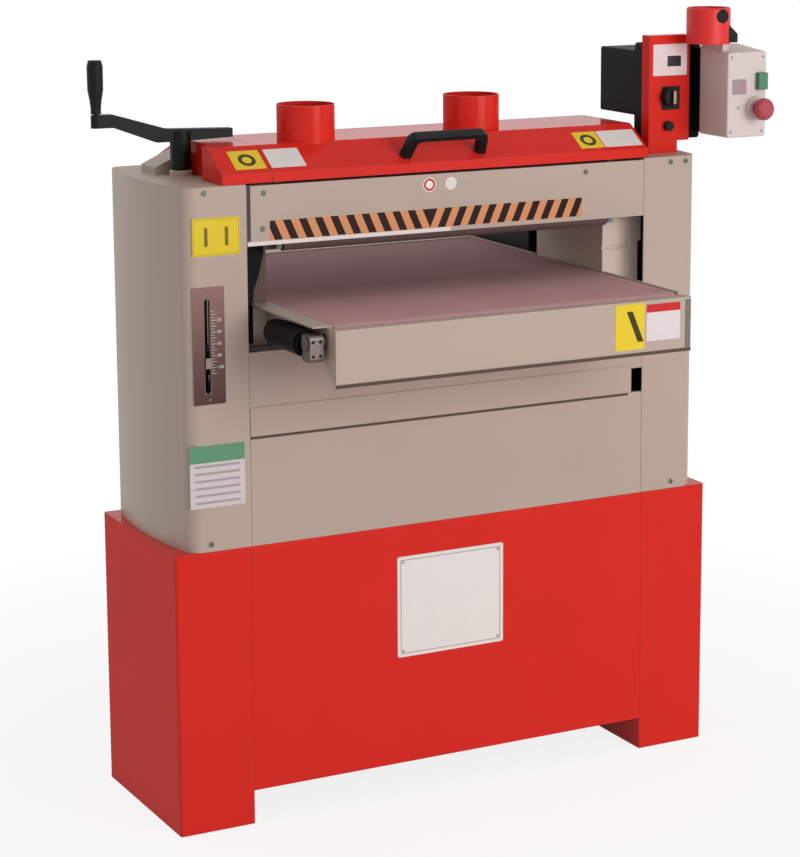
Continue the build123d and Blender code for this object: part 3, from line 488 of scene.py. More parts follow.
turned_alloy = plated_steel("turned_alloy", ink(200, 200, 202), 0.36, (2600.0, 30.0, 30.0))
grit_brown = ink(122, 72, 50)
grit_strip = 0.15
for side in ("front", "rear"):
    dress(turned_alloy, side + "_drum")
    low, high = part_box(side + "_abrasive")
    axis = (low + high) / 2
    grit_cloth = abrasive_cloth(side + "_grit_cloth", grit_brown, axis.y, axis.z, grit_strip)
    dress(grit_cloth, side + "_abrasive")

# Pressure rollers
# Steel rollers before and after the drums, in a dark brown that is painted shade from the panel above
# them, in carriers that slide up on studs through the panels.
# A coiled spring round each stud presses them down on the work.
dress(grey_enamel, "infeed_press_carrier", "outfeed_press_carrier")
# Painted shade: the rollers are coloured dark brown for the shadow under the upper panels.
painted_shade_steel = coat("painted_shade_steel", ink(92, 71, 70), 0.5, 0.00005, grain=220.0, specular=0.16)
dress(painted_shade_steel, "infeed_press_roller", "outfeed_press_roller")
spring_steel = plated_steel("spring_steel", ink(120, 122, 126), 0.36, (900.0, 900.0, 900.0))
spring_radius = 0.0072
wire_radius = 0.0009
spring_turns = 8
spring_steps = 18 * spring_turns
stud_x, stud_y = 0.326, 0.15
panel_sheet = 0.0025
spring_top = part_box("upper_front_panel")[1].z - panel_sheet
spring_foot = 1.0595
spring_length = spring_top - spring_foot
for side, y in (("infeed", -stud_y), ("outfeed", stud_y)):
    for hand, x in (("left", -stud_x), ("right", stud_x)):
        form = bmesh.new()
        start = Matrix.Translation((x + spring_radius, y, spring_foot + wire_radius))
        bmesh.ops.create_circle(
            form, cap_ends=True, segments=8, radius=wire_radius, matrix=start @ FACING_FRONT
        )
        bmesh.ops.spin(
            form,
            geom=form.verts[:] + form.edges[:] + form.faces[:],
            cent=(x, y, 0),
            axis=(0, 0, 1),
            dvec=(0, 0, (spring_length - 2 * wire_radius) / spring_steps),
            angle=2 * math.pi * spring_turns,
            steps=spring_steps,
            use_duplicate=False,
        )
        spring = fit_piece(f"{side}_{hand}_spring", form, spring_steel, "frame")
        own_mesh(spring)

# Lift
# Ground guide rods and two trapezoidal screws in the columns raise the table, tied together by a chain.
# The left screw runs up through its cover to the crank.


def threaded_steel(name, axis_x, pitch):
    """Steel with a helical thread round a standing axis."""
    material, shade, surface = new_material(name)
    place = shade.place()
    turn = place.along("Y").maths("ARCTAN2", place.along("X") - axis_x) / (2 * math.pi)
    flank = abs((place.along("Z") / pitch - turn).fraction() - 0.5) * 2.0
    oil = noise(place, 40.0, 3.0)
    shade.feed(surface, {
        "Base Color": (flank * 0.6 + oil * 0.4).mix(ink(70, 66, 60), ink(176, 174, 168)),
        "Metallic": 1.0,
        "Roughness": oil * 0.2 + 0.26,
        "Normal": shade.add("Bump", {}, {"Strength": 0.9, "Distance": 0.0012, "Height": flank}),
    })
    return material


ground_steel = plated_steel("ground_steel", ink(186, 186, 184), 0.24, (60.0, 60.0, 1800.0))
screw_pitch = 0.004
for side in ("left", "right"):
    low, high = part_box(side + "_lift_screw")
    dress(threaded_steel(side + "_thread", (low.x + high.x) / 2, screw_pitch), side + "_lift_screw")
    dress(ground_steel, side + "_guide")
dress(plated_steel("oiled_chain", ink(92, 86, 78), 0.42, (500.0, 500.0, 500.0)), "lift_chain")
dress(grey_enamel, "lift_frame")

# Feed table
# A welded bed between two steel rollers, with a mauve grit-cloth belt round it and beige end covers.
# A small black motor with a cast alloy gearbox hangs on the left end of the front roller.


def feed_cloth(name, colour):
    """A fine-grit feed belt with streaks along its run, a slanting splice and painted shade at the back.
    """
    material, shade, surface = new_material(name)
    place = shade.place()
    y = place.along("Y")
    grit = noise(place, 1100.0)
    streak = noise(shade.add("Mapping", {}, {"Vector": place, "Scale": (40.0, 3.0, 3.0)}), 1.0, 4.0)
    splice = abs(y + place.along("X") * 0.55 + 0.03) < 0.0012
    # Painted shade: the belt darkens towards the back, where it runs under the drums and the panel.
    painted_shade_behind = ((y - 0.03) * 4.0).most(0.0).least(0.62)
    ground = (grit * 0.45 + streak * 0.55).mix(darker(colour, 0.82), darker(colour, 1.16))
    shade.feed(surface, {
        "Base Color": (splice * 0.35).most(painted_shade_behind).mix(ground, darker(colour, 0.3)),
        "Roughness": grit * 0.1 + 0.8,
        "Specular IOR Level": 0.2,
        "Normal": shade.add("Bump", {}, {"Strength": 0.6, "Distance": 0.0003, "Height": grit}),
    })
    return material


beige = coat("beige_powder_coat", ink(177, 158, 145), 0.46, 0.00003, specular=0.3)
dress(beige, "table_frame", "infeed_cover", "outfeed_cover")
dress(feed_cloth("feed_cloth", ink(190, 146, 149)), "feed_belt")
dress(turned_steel, "drive_roller", "idler_roller")
cast_alloy = plated_steel("cast_alloy", ink(114, 102, 99), 0.46, (240.0, 240.0, 240.0))
dress(cast_alloy, "feed_gearbox")
dress(coat("motor_black", ink(7, 6, 6), 0.4, 0.00005, grain=220.0, specular=0.07), "feed_motor")
black_enamel = coat("black_enamel", ink(14, 14, 14), 0.45, 0.00005, grain=220.0, specular=0.16)
gear_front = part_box("feed_gearbox")[0].y
gear_screw_radius = 0.0028
screws(
    "gearbox_screws",
    [(x, gear_front, z) for x in (-0.3685, -0.3555) for z in (0.8595, 0.883)],
    FACING_FRONT, gear_screw_radius, black_enamel, "table",
)

# Column covers and panels
# Bent 2.5 mm sheets round the columns, and folded panels between them above and below the throat.
# All are sprayed beige and held by dark button-head screws.
dress(beige, "left_cover", "right_cover", "upper_front_panel", "upper_rear_panel")
dress(beige, "throat_panel", "lower_front_panel", "lower_rear_panel")
dark_steel = plated_steel("dark_steel", ink(128, 124, 118), 0.42, (600.0, 600.0, 600.0))
body_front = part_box("upper_front_panel")[0].y
body_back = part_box("lower_rear_panel")[1].y
body_screw_radius = 0.0048
head_row, foot_row = 1.106, 0.5095
cover_screws = (
    (-0.4655, head_row), (-0.4645, foot_row), (0.4466, head_row), (0.479, head_row), (0.4557, foot_row),
)
panel_screws = ((-0.3585, 1.1), (-0.361, 1.04), (0.267, 1.0985))
screws(
    "front_body_screws",
    [(x, body_front, z) for x, z in cover_screws + panel_screws],
    FACING_FRONT, body_screw_radius, dark_steel,
)
back_panel_x, back_cover_x = 0.376, 0.46
back_panel_screws = [(back_panel_x, z) for z in (0.53, 0.66, 0.765, 1.04)]
back_cover_screws = [(back_cover_x, z) for z in (foot_row, head_row)]
screws(
    "back_body_screws",
    [(side * x, body_back, z) for side in (-1, 1) for x, z in back_panel_screws + back_cover_screws],
    FACING_BACK, body_screw_radius, dark_steel,
)

# Throat trim
# A grey rubber strip closes the joint at the upper panel's left end. A dark brown strip along the lower
# seam is painted shadow, and a pale strip along the upper panel's foot is a painted highlight.
# Felt strips and black rubber gussets glued to the side frames are painted shade, dark sheets where the
# throat's corners lie in shadow, and the pale sheet edge fixed to the right front post is painted light.


def moulded(name, colour, roughness, grain=900.0, relief=0.00012, specular=0.4):
    """Moulded plastic or rubber with an even spark-eroded grain."""
    material, shade, surface = new_material(name)
    place = shade.place()
    fine = noise(place, grain)
    cloud = noise(place, 14.0)
    edge, soft = edge_share(shade, 0.0012)
    worn = tuple(0.95 * part + 0.03 for part in colour[:3]) + (1.0,)
    bump = {"Strength": 0.5, "Distance": relief, "Height": fine, "Normal": soft}
    shade.feed(surface, {
        "Base Color": (edge * 0.4 + cloud * 0.15).mix(colour, worn),
        "Roughness": fine * 0.12 + (roughness - 0.06),
        "Specular IOR Level": specular,
        "Normal": shade.add("Bump", {}, bump),
    })
    return material


def rubber(name, colour, specular=0.12):
    return moulded(name, colour, 0.75, grain=500.0, specular=specular)


def cut_sheet(name, outline, y, thickness, material):
    """A flat piece cut to an outline of x and z, on a front surface of the frame."""
    form = bmesh.new()
    form.faces.new([form.verts.new((x, z, 0)) for x, z in outline])
    break_edges(form, thicken(form, thickness), 0.3 * thickness)
    bmesh.ops.transform(form, matrix=Matrix.Translation((0, y, 0)) @ FACING_FRONT, verts=form.verts[:])
    return fit_piece(name, form, material, "frame")


black_rubber = rubber("black_rubber", ink(20, 19, 19))
grey_rubber = rubber("grey_rubber", ink(78, 68, 70))
painted_shadow_rubber = rubber("painted_shadow_rubber", ink(90, 74, 64), specular=0.06)
joint_strip = (-0.3888, -0.3828, 1.0205, 1.1145)
face_plate(
    "panel_joint_strip", joint_strip, body_front, grey_rubber,
    thickness=0.0008, corner=0.0006,
)
# Painted shadow: a dark brown strip below the seam stands in for the shadow under the overlapping panel.
seam_shadow_area = (-0.3888, 0.36, 0.6826, 0.6868)
face_plate(
    "panel_seam_shadow", seam_shadow_area, body_front, painted_shadow_rubber,
    thickness=0.0005, corner=0.0004,
)
# Painted light: this pale coat is a highlight along the upper panel's foot and lightens the right post
# edge.
painted_light_edge = coat("painted_light_edge", ink(222, 210, 204), 0.4, 0.00002)
foot_highlight_area = (-0.3885, -0.006, 1.0122, 1.0192)
face_plate(
    "panel_foot_highlight", foot_highlight_area, body_front, painted_light_edge,
    thickness=0.0008, corner=0.0004,
)

# Painted shade: the felt and black rubber sheets below darken the left post, which lies in shadow.
felt = moulded("brown_felt", ink(104, 84, 80), 0.95, grain=300.0, relief=0.0006, specular=0.05)
felt_thick = 0.0015
ledge_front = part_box("left_side_frame")[0].y
ledge_overhang = 0.019
frame_front = ledge_front + ledge_overhang
felt_pad = (-0.388, -0.3345, 0.9, 1.0115)
face_plate("left_felt_pad", felt_pad, frame_front, felt, felt_thick, corner=0.001)
ledge_felt = (-0.3462, -0.3195, 0.9985, 1.012)
ledge_felt_y = ledge_front + 0.002
face_plate("left_ledge_felt", ledge_felt, ledge_felt_y, felt, felt_thick, corner=0.0008)
left_gusset = (
    (-0.388, 1.0118), (-0.3375, 1.0118), (-0.3375, 0.9978), (-0.3478, 0.954), (-0.3574, 0.929),
    (-0.36, 0.897), (-0.36, 0.838), (-0.388, 0.838),
)
gusset_thick = 0.001
felt_front = frame_front - felt_thick
cut_sheet("left_shadow_gusset", left_gusset, felt_front, gusset_thick, black_rubber)
# Painted light on the right post's pale edge, and painted shade in the black gusset beside it.
right_edge = (
    (0.388, 0.868), (0.4085, 0.868), (0.4085, 0.958), (0.415, 0.958), (0.415, 1.008), (0.388, 1.008),
)
post_edge_thick = 0.002
cut_sheet("right_post_edge", right_edge, frame_front, post_edge_thick, painted_light_edge)
right_gusset = (0.3985, 0.424, 0.868, 1.008)
face_plate(
    "right_shadow_gusset", right_gusset, frame_front + post_edge_thick, black_rubber,
    post_edge_thick, corner=0.0006,
)

# Infeed trim
# A dark brown strip on the lower edge of the infeed cover is a painted shadow line under that edge.
# A narrow strip of sheet in a darker beige down its right end is painted shade on that end.


def bar(form, low, high):
    """Adds a square bar between two corners, and gives its edges."""
    place = Matrix.Translation((low + high) / 2) @ Matrix.Diagonal((high - low).to_4d())
    corners = bmesh.ops.create_cube(form, size=1.0, matrix=place)["verts"]
    return list({edge for corner in corners for edge in corner.link_edges})


def rounded_bar(form, low, high, rounding):
    """Adds a bar between two corners, with its edges broken."""
    break_edges(form, bar(form, low, high), rounding)


infeed_low, infeed_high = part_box("infeed_cover")
infeed_front = infeed_low.y
# Painted shadow: a dark brown strip along the infeed cover's lower edge.
shadow_line_thick = 0.0014
shadow_line_bottom, shadow_line_top = infeed_low.z + 0.0002, infeed_low.z + 0.006
form = bmesh.new()
rounded_bar(
    form,
    Vector((infeed_low.x, infeed_front - shadow_line_thick, shadow_line_bottom)),
    Vector((infeed_high.x, infeed_front, shadow_line_top)),
    rounding=0.0005,
)
fit_piece("infeed_shadow_line", form, painted_shadow_rubber, "table")
# Painted shade: the darker beige strip on the cover's right end.
painted_shade_beige = coat("painted_shade_beige", ink(118, 104, 96), 0.6, 0.00003)
end_strip = (infeed_high.x - 0.0115, infeed_high.x - 0.0005, infeed_low.z + 0.007, infeed_high.z - 0.004)
face_plate(
    "infeed_end_strip", end_strip, infeed_front, painted_shade_beige,
    thickness=0.0006, corner=0.0006, body="table",
)

# Outfeed guards
# Two bent black steel wings stand beside the outfeed, screwed to the backs of the column covers.
# Each has a flange on its cover and a blade that narrows towards the free end.
wing_inner, wing_outer = 0.345, 0.41
wing_thick = 0.002
wing_reach = 0.405
wing_bottom, wing_top, wing_end_top = 0.888, 0.958, 0.925
wing_rounding = 0.0005
form = bmesh.new()
for side in (-1, 1):
    flange_left, flange_right = sorted((side * wing_inner, side * wing_outer))
    rounded_bar(
        form,
        Vector((flange_left, body_back, wing_bottom)),
        Vector((flange_right, body_back + wing_thick, wing_top)),
        wing_rounding,
    )
    before = set(form.verts)
    blade_left, blade_right = sorted((side * wing_inner, side * (wing_inner + wing_thick)))
    rounded_bar(
        form,
        Vector((blade_left, body_back, wing_bottom)),
        Vector((blade_right, wing_reach, wing_top)),
        wing_rounding,
    )
    for corner in set(form.verts) - before:
        if corner.co.y > wing_reach - wing_thick and corner.co.z > wing_end_top:
            corner.co.z -= wing_top - wing_end_top
fit_piece("outfeed_wings", form, black_enamel, "frame")
wing_screw_x = 0.4
wing_screw_radius = 0.004
screws(
    "outfeed_wing_screws",
    [(side * wing_screw_x, body_back + wing_thick, z) for side in (-1, 1) for z in (0.903, 0.943)],
    FACING_BACK, wing_screw_radius, zinc,
)

# Hazard strip
# A printed self-adhesive strip above the throat with slanting black and orange bars.
# The bars lean both ways from a black wedge in the middle.
strip_area = (-0.348, 0.259, 1.02, 1.053)
strip_middle = -0.046
strip_pitch = 0.0293
strip_orange = ink(212, 142, 98)
strip_black = ink(34, 2, 0)
sticker = 0.0003


def draw_hazard(ground, x, z):
    """Black bars that lean by half a pitch over the strip's height."""
    bottom, top = strip_area[2:]
    lean = strip_pitch / 2 / (top - bottom)
    run = abs(x - strip_middle) - (z - bottom) * lean
    return ((run / strip_pitch).fraction() > 0.5).mix(ground, strip_black)


hazard_print = printed("hazard_print", strip_orange, draw_hazard)
face_plate("hazard_strip", strip_area, body_front, hazard_print, sticker, corner=0.0008)

# Plain labels
# Small printed stickers on the left column, the upper panel and the infeed cover, with no words on them.
# They keep the colours that such labels have: yellow, green over white, and red over white.


def front_label(name, area, y, material, body="frame"):
    """A sticker with round corners on a surface that faces the operator."""
    return face_plate(name, area, y, material, sticker, corner=0.002, body=body)


yellow = ink(226, 196, 48)
label_ink = ink(70, 56, 20)
mark_area = (-0.488, -0.4022, 1.0013, 1.065)
mark_apart = 0.0185
mark_half_length = 0.013
mark_half_width = 0.0032


def draw_two_marks(ground, x, z):
    """Two upright rounded bars on a yellow ground, inside a thin line."""
    middle_x, middle_z = centre(mark_area)
    beside = abs(abs(x - middle_x) - mark_apart)
    beyond = (abs(z - middle_z) - mark_half_length).most(0.0)
    mark = beside * beside + beyond * beyond < mark_half_width ** 2
    line = frame_line(x, z, mark_area, inset=0.002, width=0.0007)
    return (mark.most(line) * 0.8).mix(ground, label_ink)


front_label("column_label", mark_area, body_front, printed("yellow_print", yellow, draw_two_marks))

chart_area = (-0.5005, -0.4008, 0.574, 0.681)
chart_green = ink(96, 146, 112)
chart_grey = ink(128, 118, 130)
chart_head = chart_area[3] - 0.0293
chart_row = 0.0125
chart_half_width = 0.041


def draw_chart(ground, x, z):
    """A green head over a white field with grey ruled bars."""
    row = abs(((chart_head - z) / chart_row).fraction() - 0.5) < 0.17
    inside = abs(x - centre(chart_area)[0]) < chart_half_width
    ruled = (row * inside * 0.6).mix(ground, chart_grey)
    return (z > chart_head).mix(ruled, chart_green)


front_label("chart_label", chart_area, body_front, printed("chart_print", ink(208, 198, 196), draw_chart))

bar_area = (0.1875, 0.2455, 0.82, 0.9)
bar_slant = 0.42
bar_right = 0.01
bar_half_width = 0.006
bar_half_height = 0.027


def draw_bar(ground, x, z):
    """One slanting dark bar, a little right of the middle."""
    middle_x, middle_z = centre(bar_area)
    up = z - middle_z
    across = abs(x + up * bar_slant - middle_x - bar_right) < bar_half_width
    return (across * (abs(up) < bar_half_height)).mix(ground, label_ink)


front_label("infeed_yellow_label", bar_area, infeed_front, printed("bar_print", yellow, draw_bar), "table")

note_area = (0.2495, 0.318, 0.832, 0.896)
note_head = note_area[3] - 0.014
note_red = ink(196, 42, 44)


def draw_note(ground, x, z):
    """A white field with a red band along its head."""
    return (z > note_head).mix(ground, note_red)


note_print = printed("note_print", ink(218, 206, 206), draw_note)
front_label("infeed_white_label", note_area, infeed_front, note_print, "table")

dot_left, dot_right, dot_height = -0.047, -0.005, 1.095
dot_radius = 0.0125
dot_ring = (0.007, 0.0108)


def ring_share(beside, above, inner, outer):
    """1 between two circles round a point, from the distances beside and above it."""
    away = (beside * beside + above * above).maths("SQRT")
    return (away > inner) * (away < outer)


def draw_red_ring(ground, x, z):
    """A red ring on white, a little in from the edge."""
    return ring_share(x - dot_left, z - dot_height, *dot_ring).mix(ground, note_red)


def round_sticker(name, x, z, radius, material):
    """A round sticker on the upper panel."""
    form = bmesh.new()
    stack(form, [(32, radius, 0), (32, 0.97 * radius, sticker)])
    seat = Matrix.Translation((x, body_front, z)) @ FACING_FRONT
    bmesh.ops.transform(form, matrix=seat, verts=form.verts[:])
    return fit_piece(name, form, material, "frame")


white_blank = printed("white_blank", ink(222, 214, 210))
ring_print = printed("ring_print", ink(236, 226, 222), draw_red_ring)
round_sticker("red_ring_sticker", dot_left, dot_height, dot_radius, ring_print)
round_sticker("pale_sticker", dot_right, dot_height, dot_radius * 0.9, white_blank)

# Depth scale
# A mauve plate round the slot in the left cover, with a raised tick for each 5 mm of work thickness.
# A black pointer on the lift frame looks out through the slot and carries a pale flag.
scale_area = (-0.49, -0.433, 0.751, 0.95)
scale_bottom, scale_top = scale_area[2:]
scale_thick = 0.0008
slot_x, slot_half = -0.464, 0.0055
slot_bottom, slot_top = 0.769, 0.93


def draw_paler_head(ground, x, z):
    """The plate's colour, paler towards its head."""
    return ((z - scale_bottom) / (scale_top - scale_bottom)).mix(ground, ink(146, 108, 106))


form = standing_plate(scale_area, body_front, scale_thick, corner=0.003)
for point, across in (
    ((slot_x - slot_half, 0, 0), (1, 0, 0)),
    ((slot_x + slot_half, 0, 0), (1, 0, 0)),
    ((0, 0, slot_bottom), (0, 0, 1)),
    ((0, 0, slot_top), (0, 0, 1)),
):
    bmesh.ops.bisect_plane(
        form, geom=form.verts[:] + form.edges[:] + form.faces[:], plane_co=point, plane_no=across
    )
window = [
    face for face in form.faces
    if abs(face.calc_center_median().x - slot_x) < slot_half
    and slot_bottom < face.calc_center_median().z < slot_top
]
bmesh.ops.delete(form, geom=window, context="FACES")
bmesh.ops.bridge_loops(form, edges=[edge for edge in form.edges if edge.is_boundary])
mauve_plate = printed("mauve_plate", ink(84, 58, 56), draw_paler_head)
fit_piece("scale_plate", form, mauve_plate, "frame")

pale_ink = printed("pale_ink", ink(226, 216, 208))
scale_zero = 0.9135
scale_span = 0.11
tick_pitch = 0.005
tick_half, tick_thick = 0.0004, 0.0002
tick_left = slot_x + slot_half + 0.001
tick_y = body_front - scale_thick
form = bmesh.new()
for step in range(1, int(scale_span / tick_pitch) + 1):
    height = scale_zero - step * tick_pitch
    length = 0.009 if step % 2 == 0 else 0.0055
    bar(
        form,
        Vector((tick_left, tick_y - tick_thick, height - tick_half)),
        Vector((tick_left + length, tick_y, height + tick_half)),
    )
fit_piece("scale_ticks", form, pale_ink, "frame")

figure_left = slot_x + slot_half + 0.0115
figure_height = 0.0078
figure_half_thick = 0.0001


def numeral(form, text, height, seat):
    """Adds a plain number, as flat raised figures."""
    curve = bpy.data.curves.new("figures", "FONT")
    curve.body = text
    curve.size = height
    curve.align_x = "LEFT"
    curve.align_y = "CENTER"
    curve.extrude = figure_half_thick
    holder = bpy.data.objects.new("figures", curve)
    bpy.context.scene.collection.objects.link(holder)
    bpy.context.view_layer.update()
    flat = bpy.data.meshes.new_from_object(holder.evaluated_get(bpy.context.evaluated_depsgraph_get()))
    flat.transform(seat)
    form.from_mesh(flat)
    bpy.data.objects.remove(holder)
    bpy.data.curves.remove(curve)
    bpy.data.meshes.remove(flat)


form = bmesh.new()
for tens in range(2, int(scale_span / 0.01) + 1, 2):
    spot = Vector((figure_left, tick_y - figure_half_thick, scale_zero - tens * 0.01))
    numeral(form, str(tens * 10), figure_height, Matrix.Translation(spot) @ FACING_FRONT)
fit_piece("scale_figures", form, pale_ink, "frame")

dress(black_enamel, "depth_pointer")
pointer_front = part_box("depth_pointer")[0].y
flag_area = (slot_x - slot_half, slot_x + slot_half, 0.8125, 0.8305)
flag_print = printed("flag_print", ink(158, 140, 138))
face_plate(
    "pointer_flag", flag_area, pointer_front, flag_print,
    thickness=0.0008, corner=0.001, body="table",
)
scale_screw_heights = (scale_bottom + 0.008, scale_top - 0.008)
scale_screw_radius = 0.0026
screws(
    "scale_plate_screws",
    [(centre(scale_area)[0], tick_y, z) for z in scale_screw_heights],
    FACING_FRONT, scale_screw_radius, dark_steel,
)

# Hood
# A folded red lid over both drums, hinged at the back, with two rolled dust spigots and a moulded handle.
# It closes on rubber strips, and its short left end stays fixed beside the crank.
dress(red, "hood_lid", "hood_end", "left_dust_port", "right_dust_port")
black_plastic = moulded("black_plastic", ink(16, 15, 15), 0.5, specular=0.16)
dress(black_plastic, "hood_handle")

seal_rubber = rubber("seal_rubber", ink(122, 52, 48))
seal_line = 0.162
seal_half_depth = 0.003
lid_low, lid_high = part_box("hood_lid")
seal_left, seal_right = lid_low.x + 0.004, lid_high.x - 0.016
seal_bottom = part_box("upper_front_panel")[1].z
for side, name in ((-1, "front_hood_seal"), (1, "back_hood_seal")):
    form = bmesh.new()
    rounded_bar(
        form,
        Vector((seal_left, side * seal_line - seal_half_depth, seal_bottom)),
        Vector((seal_right, side * seal_line + seal_half_depth, lid_low.z)),
        rounding=0.001,
    )
    fit_piece(name, form, seal_rubber, "frame")

hinge_back = 0.174
hinge_leaf = 0.0115
hinge_screw_radius = 0.004
screws(
    "hinge_screws",
    [(x - hinge_leaf, hinge_back, z) for x in (-0.29, 0.03, 0.35) for z in (1.084, 1.1)],
    FACING_BACK, hinge_screw_radius, zinc,
)

slope_run, slope_rise = 0.062, 0.04
slope_foot_y, slope_foot_z = -0.166, 1.133
slope_angle = math.atan2(slope_rise, slope_run)
slope_ring = (0.0085, 0.0155)


def slope_label(name, span, reach, material, body):
    """A thin sticker on the hood's front slope, between two sides and two shares of the slope."""
    length = math.hypot(slope_run, slope_rise)
    form = rounded_plate(span[1] - span[0], (reach[1] - reach[0]) * length, sticker, corner=0.002)
    share = sum(reach) / 2
    spot = (sum(span) / 2, slope_foot_y + slope_run * share, slope_foot_z + slope_rise * share)
    seat = Matrix.Translation(spot) @ Matrix.Rotation(slope_angle, 4, "X")
    bmesh.ops.transform(form, matrix=seat, verts=form.verts[:])
    return fit_piece(name, form, material, body)


def ring_mark(name, span, reach):
    """A yellow print with one plain dark ring, drawn true on the slope."""
    middle_z = slope_foot_z + slope_rise * sum(reach) / 2

    def draw(ground, x, z):
        up_slope = (z - middle_z) / math.sin(slope_angle)
        return ring_share(x - sum(span) / 2, up_slope, *slope_ring).mix(ground, label_ink)

    return printed(name, yellow, draw)


end_span, lid_right_span = (-0.401, -0.345), (0.266, 0.314)
left_reach, right_reach = (0.16, 0.82), (0.14, 0.76)
end_ring_print = ring_mark("end_ring_print", end_span, left_reach)
lid_ring_print = ring_mark("lid_ring_print", lid_right_span, right_reach)
slope_label("end_yellow_label", end_span, left_reach, end_ring_print, "frame")
slope_label("lid_left_white_label", (-0.336, -0.272), left_reach, white_blank, "lid")
slope_label("lid_right_yellow_label", lid_right_span, right_reach, lid_ring_print, "lid")
slope_label("lid_right_white_label", (0.316, 0.394), right_reach, white_blank, "lid")

# Crank
# A black-enamelled steel arm on the head of the left screw, with a hub, a short tail and a raised end.
# A black plastic grip turns freely on the spindle at that end.
dress(black_enamel, "crank_arm")
dress(black_plastic, "crank_grip")

# Control post
# A folded red upright on the right column with a pale display plate in a recess, the feed speed knob on a
# black dial plate, and a small button. The black speed controller is bolted to its back.
dress(red, "control_post")
dress(black_plastic, "speed_knob", "post_button")
dress(moulded("controller_black", ink(6, 3, 2), 0.5, specular=0.07), "controller_box")
post_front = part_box("control_post")[0].y
recess_back = post_front + 0.002
display_area = (0.4383, 0.5117, 1.2573, 1.3147)
display_thick = 0.0016
pale_plate = printed("display_plate", ink(228, 206, 206))
face_plate(
    "display_plate", display_area, recess_back, pale_plate, display_thick, corner=0.002
)
window_area = (0.469, 0.498, 1.274, 1.293)
window_y = recess_back - display_thick
dark_glass = moulded("dark_glass", ink(28, 28, 32), 0.16, relief=0.00001, specular=0.6)
face_plate(
    "display_window", window_area, window_y, dark_glass, thickness=0.0008, corner=0.001
)

knob_low, knob_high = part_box("speed_knob")
knob_x = (knob_low.x + knob_high.x) / 2
knob_z = (knob_low.z + knob_high.z) / 2
dial_area = (0.457, 0.496, 1.195, 1.238)
dial_left, dial_right, dial_bottom, dial_top = dial_area
dial_x, dial_z = centre(dial_area)
stem_hole = 0.005
form = flat_outline(dial_right - dial_left, dial_top - dial_bottom, corner=0.002)
bmesh.ops.translate(form, vec=(dial_x - knob_x, dial_z - knob_z, 0), verts=form.verts[:])
bmesh.ops.delete(form, geom=form.faces[:], context="FACES_ONLY")
outer = form.edges[:]
bmesh.ops.bridge_loops(form, edges=outer + ring(form, 24, stem_hole, 0))
thicken(form, sticker)
seat = Matrix.Translation((knob_x, post_front, knob_z)) @ FACING_FRONT
bmesh.ops.transform(form, matrix=seat, verts=form.verts[:])
fit_piece("dial_plate", form, black_plastic, "frame")
knob_mark = (knob_x - 0.0028, knob_x + 0.0028, knob_z - 0.0115, knob_z + 0.0125)
tan_mark = printed("tan_mark", ink(186, 140, 116))
face_plate(
    "knob_mark", knob_mark, knob_low.y, tan_mark,
    thickness=0.0006, corner=0.002, body="speed_knob",
)

# Switch box
# A grey moulded box on the controller's arm, with a green start button and a red mushroom stop.
# A round red supply inlet stands on a seat on its top, with a black latch in front and a lug at its side.
grey_plastic = moulded("grey_plastic", ink(206, 190, 187), 0.5)
dress(grey_plastic, "switch_box")
dress(moulded("green_plastic", ink(66, 122, 92), 0.42), "start_button")
dress(moulded("stop_red_plastic", ink(164, 58, 68), 0.42), "stop_button")
dress(moulded("inlet_red_plastic", ink(214, 34, 30), 0.44), "power_inlet")
switch_face = -0.22
switch_area = (0.5435, 0.5745, 1.227, 1.2545)
mauve_print = printed("mauve_print", ink(168, 140, 146))
face_plate("switch_label", switch_area, switch_face, mauve_print, sticker, corner=0.001)
switch_screws = [(x, z) for x in (0.542, 0.61) for z in (1.159, 1.294)] + [(0.5575, 1.203)]
switch_screw_radius = 0.003
screws(
    "switch_box_screws",
    [(x, switch_face, z) for x, z in switch_screws],
    FACING_FRONT, switch_screw_radius, zinc,
)

latch_x, latch_z = 0.5322, 1.3675
latch_radius = 0.0125
latch_rim = 0.0045
form = bmesh.new()
stack(form, [
    (28, latch_radius, 0),
    (28, latch_radius, latch_rim),
    (28, 0.8 * latch_radius, 0.006),
    (28, 0.6 * latch_radius, latch_rim),
])
latch_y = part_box("power_inlet")[0].y + latch_rim
seat = Matrix.Translation((latch_x, latch_y, latch_z)) @ FACING_FRONT
bmesh.ops.transform(form, matrix=seat, verts=form.verts[:])
fit_piece("inlet_latch", form, black_plastic, "frame")

lug_low = Vector((0.549, -0.196, 1.31905))
lug_high = Vector((0.571, -0.182, 1.33455))
lug_middle = (lug_low + lug_high) / 2
lug_rise = 0.02
form = bmesh.new()
bar(form, lug_low, lug_high)
inner = [v for v in form.verts if v.co.z > lug_middle.z and v.co.x < lug_middle.x]
bmesh.ops.translate(form, vec=(0, 0, lug_rise), verts=inner)
break_edges(form, form.edges[:], offset=0.002, segments=3)
fit_piece("inlet_lug", form, black_plastic, "frame")

# Studio
# A pale floor, an even white surround and two soft lamps.
# The camera stands to the left of the machine's front, a little above its hood.


def seen_rays(shade):
    """1 for the rays that show the surround itself or its mirror image."""
    camera_ray = shade.add("LightPath", {}, {}, "Is Camera Ray")
    glossy_ray = shade.add("LightPath", {}, {}, "Is Glossy Ray")
    through_ray = shade.add("LightPath", {}, {}, "Is Transmission Ray")
    return camera_ray.most(glossy_ray).most(through_ray)


white = (1.0, 1.0, 1.0, 1.0)
surround_level = 0.5
world = bpy.data.worlds.new("studio")
bpy.context.scene.world = world
world.use_nodes = True
sky = Shade(world.node_tree)
sky.feed(world.node_tree.nodes["Background"], {
    "Color": white,
    "Strength": seen_rays(sky) * (1.0 - surround_level) + surround_level,
})

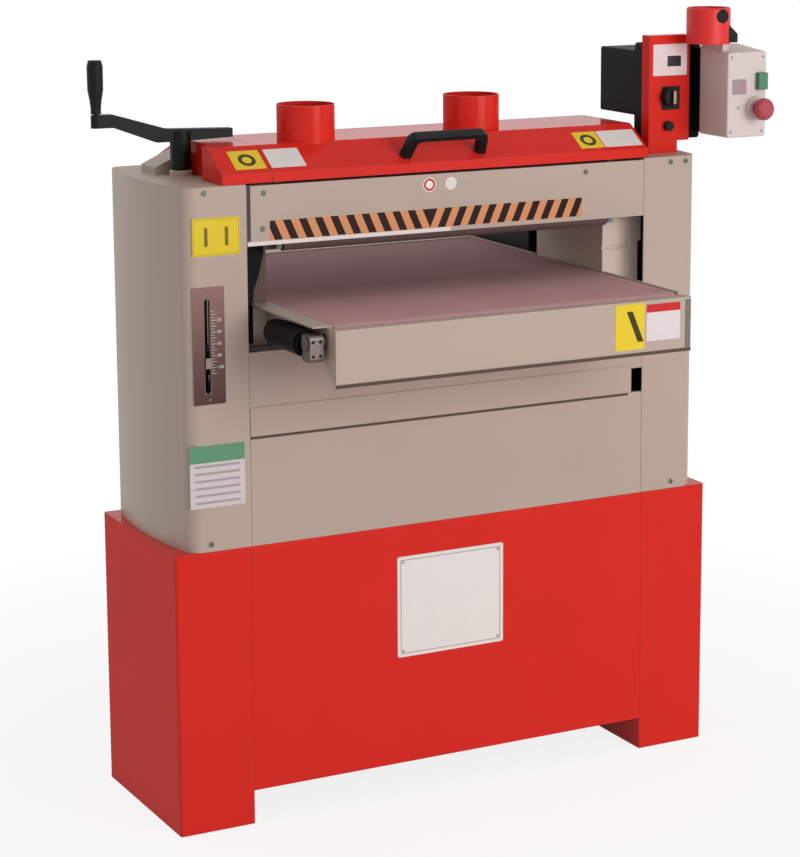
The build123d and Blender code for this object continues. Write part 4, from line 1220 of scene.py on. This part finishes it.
floor_half = 40.0
form = bmesh.new()
bmesh.ops.create_grid(form, x_segments=1, y_segments=1, size=floor_half)
mesh = bpy.data.meshes.new("floor")
form.to_mesh(mesh)
form.free()
floor = bpy.data.objects.new("floor", mesh)
bpy.context.scene.collection.objects.link(floor)
floor_paint, shade, surface = new_material("floor_paint")
place = shade.place()
floor_x, floor_y = place.along("X"), place.along("Y")
away = (floor_x * floor_x + floor_y * floor_y).maths("SQRT")
near_radius, near_glow = 0.7, 0.84
glow_rise = 0.15
glow_share = ((away - near_radius) * glow_rise).most(0.0).least(1.0 - near_glow) + near_glow
shade.feed(surface, {"Base Color": (0.86, 0.86, 0.86, 1.0), "Roughness": 0.9, "Specular IOR Level": 0.0})
lit = Shade(floor_paint.node_tree, surface.outputs["BSDF"])
glow = shade.add("Emission", {}, {"Color": white, "Strength": 1.0})
both = shade.add("MixShader", {}, {0: seen_rays(shade) * glow_share, 1: lit, 2: glow})
shade.feed(floor_paint.node_tree.nodes["Material Output"], {"Surface": both})
mesh.materials.append(floor_paint)


def soft_lamp(name, place, target, width, power):
    """A square area lamp that faces a point."""
    lamp = bpy.data.lights.new(name, "AREA")
    lamp.size = width
    lamp.energy = power
    holder = bpy.data.objects.new(name, lamp)
    holder.location = place
    holder.rotation_euler = (Vector(target) - Vector(place)).to_track_quat("-Z", "Y").to_euler()
    bpy.context.scene.collection.objects.link(holder)


middle_of_body = (0.0, 0.0, 0.8)
soft_lamp("key_lamp", (1.5, -4.7, 1.9), middle_of_body, width=2.6, power=128.0)
soft_lamp("back_lamp", (-2.5, 3.6, 3.2), middle_of_body, width=3.0, power=36.0)

image_width, image_height = 800, 857
image_side = max(image_width, image_height)
lens_pixels = 2551.4
lens_centre = (480.0, 330.0)
yaw, pitch = math.radians(28.73), math.radians(10.6)
camera = bpy.data.cameras.new("camera")
camera.sensor_width = 36.0
camera.lens = lens_pixels * camera.sensor_width / image_side
camera.shift_x = (image_width / 2 - lens_centre[0]) / image_side
camera.shift_y = (lens_centre[1] - image_height / 2) / image_side
camera.clip_end = 200.0
viewer = bpy.data.objects.new("camera", camera)
viewer.location = (-2.0683, -4.0384, 1.6571)
viewer.rotation_euler = (math.pi / 2 - pitch, 0.0, -yaw)
bpy.context.scene.collection.objects.link(viewer)
bpy.context.scene.camera = viewer
bpy.context.scene.view_settings.view_transform = "Standard"
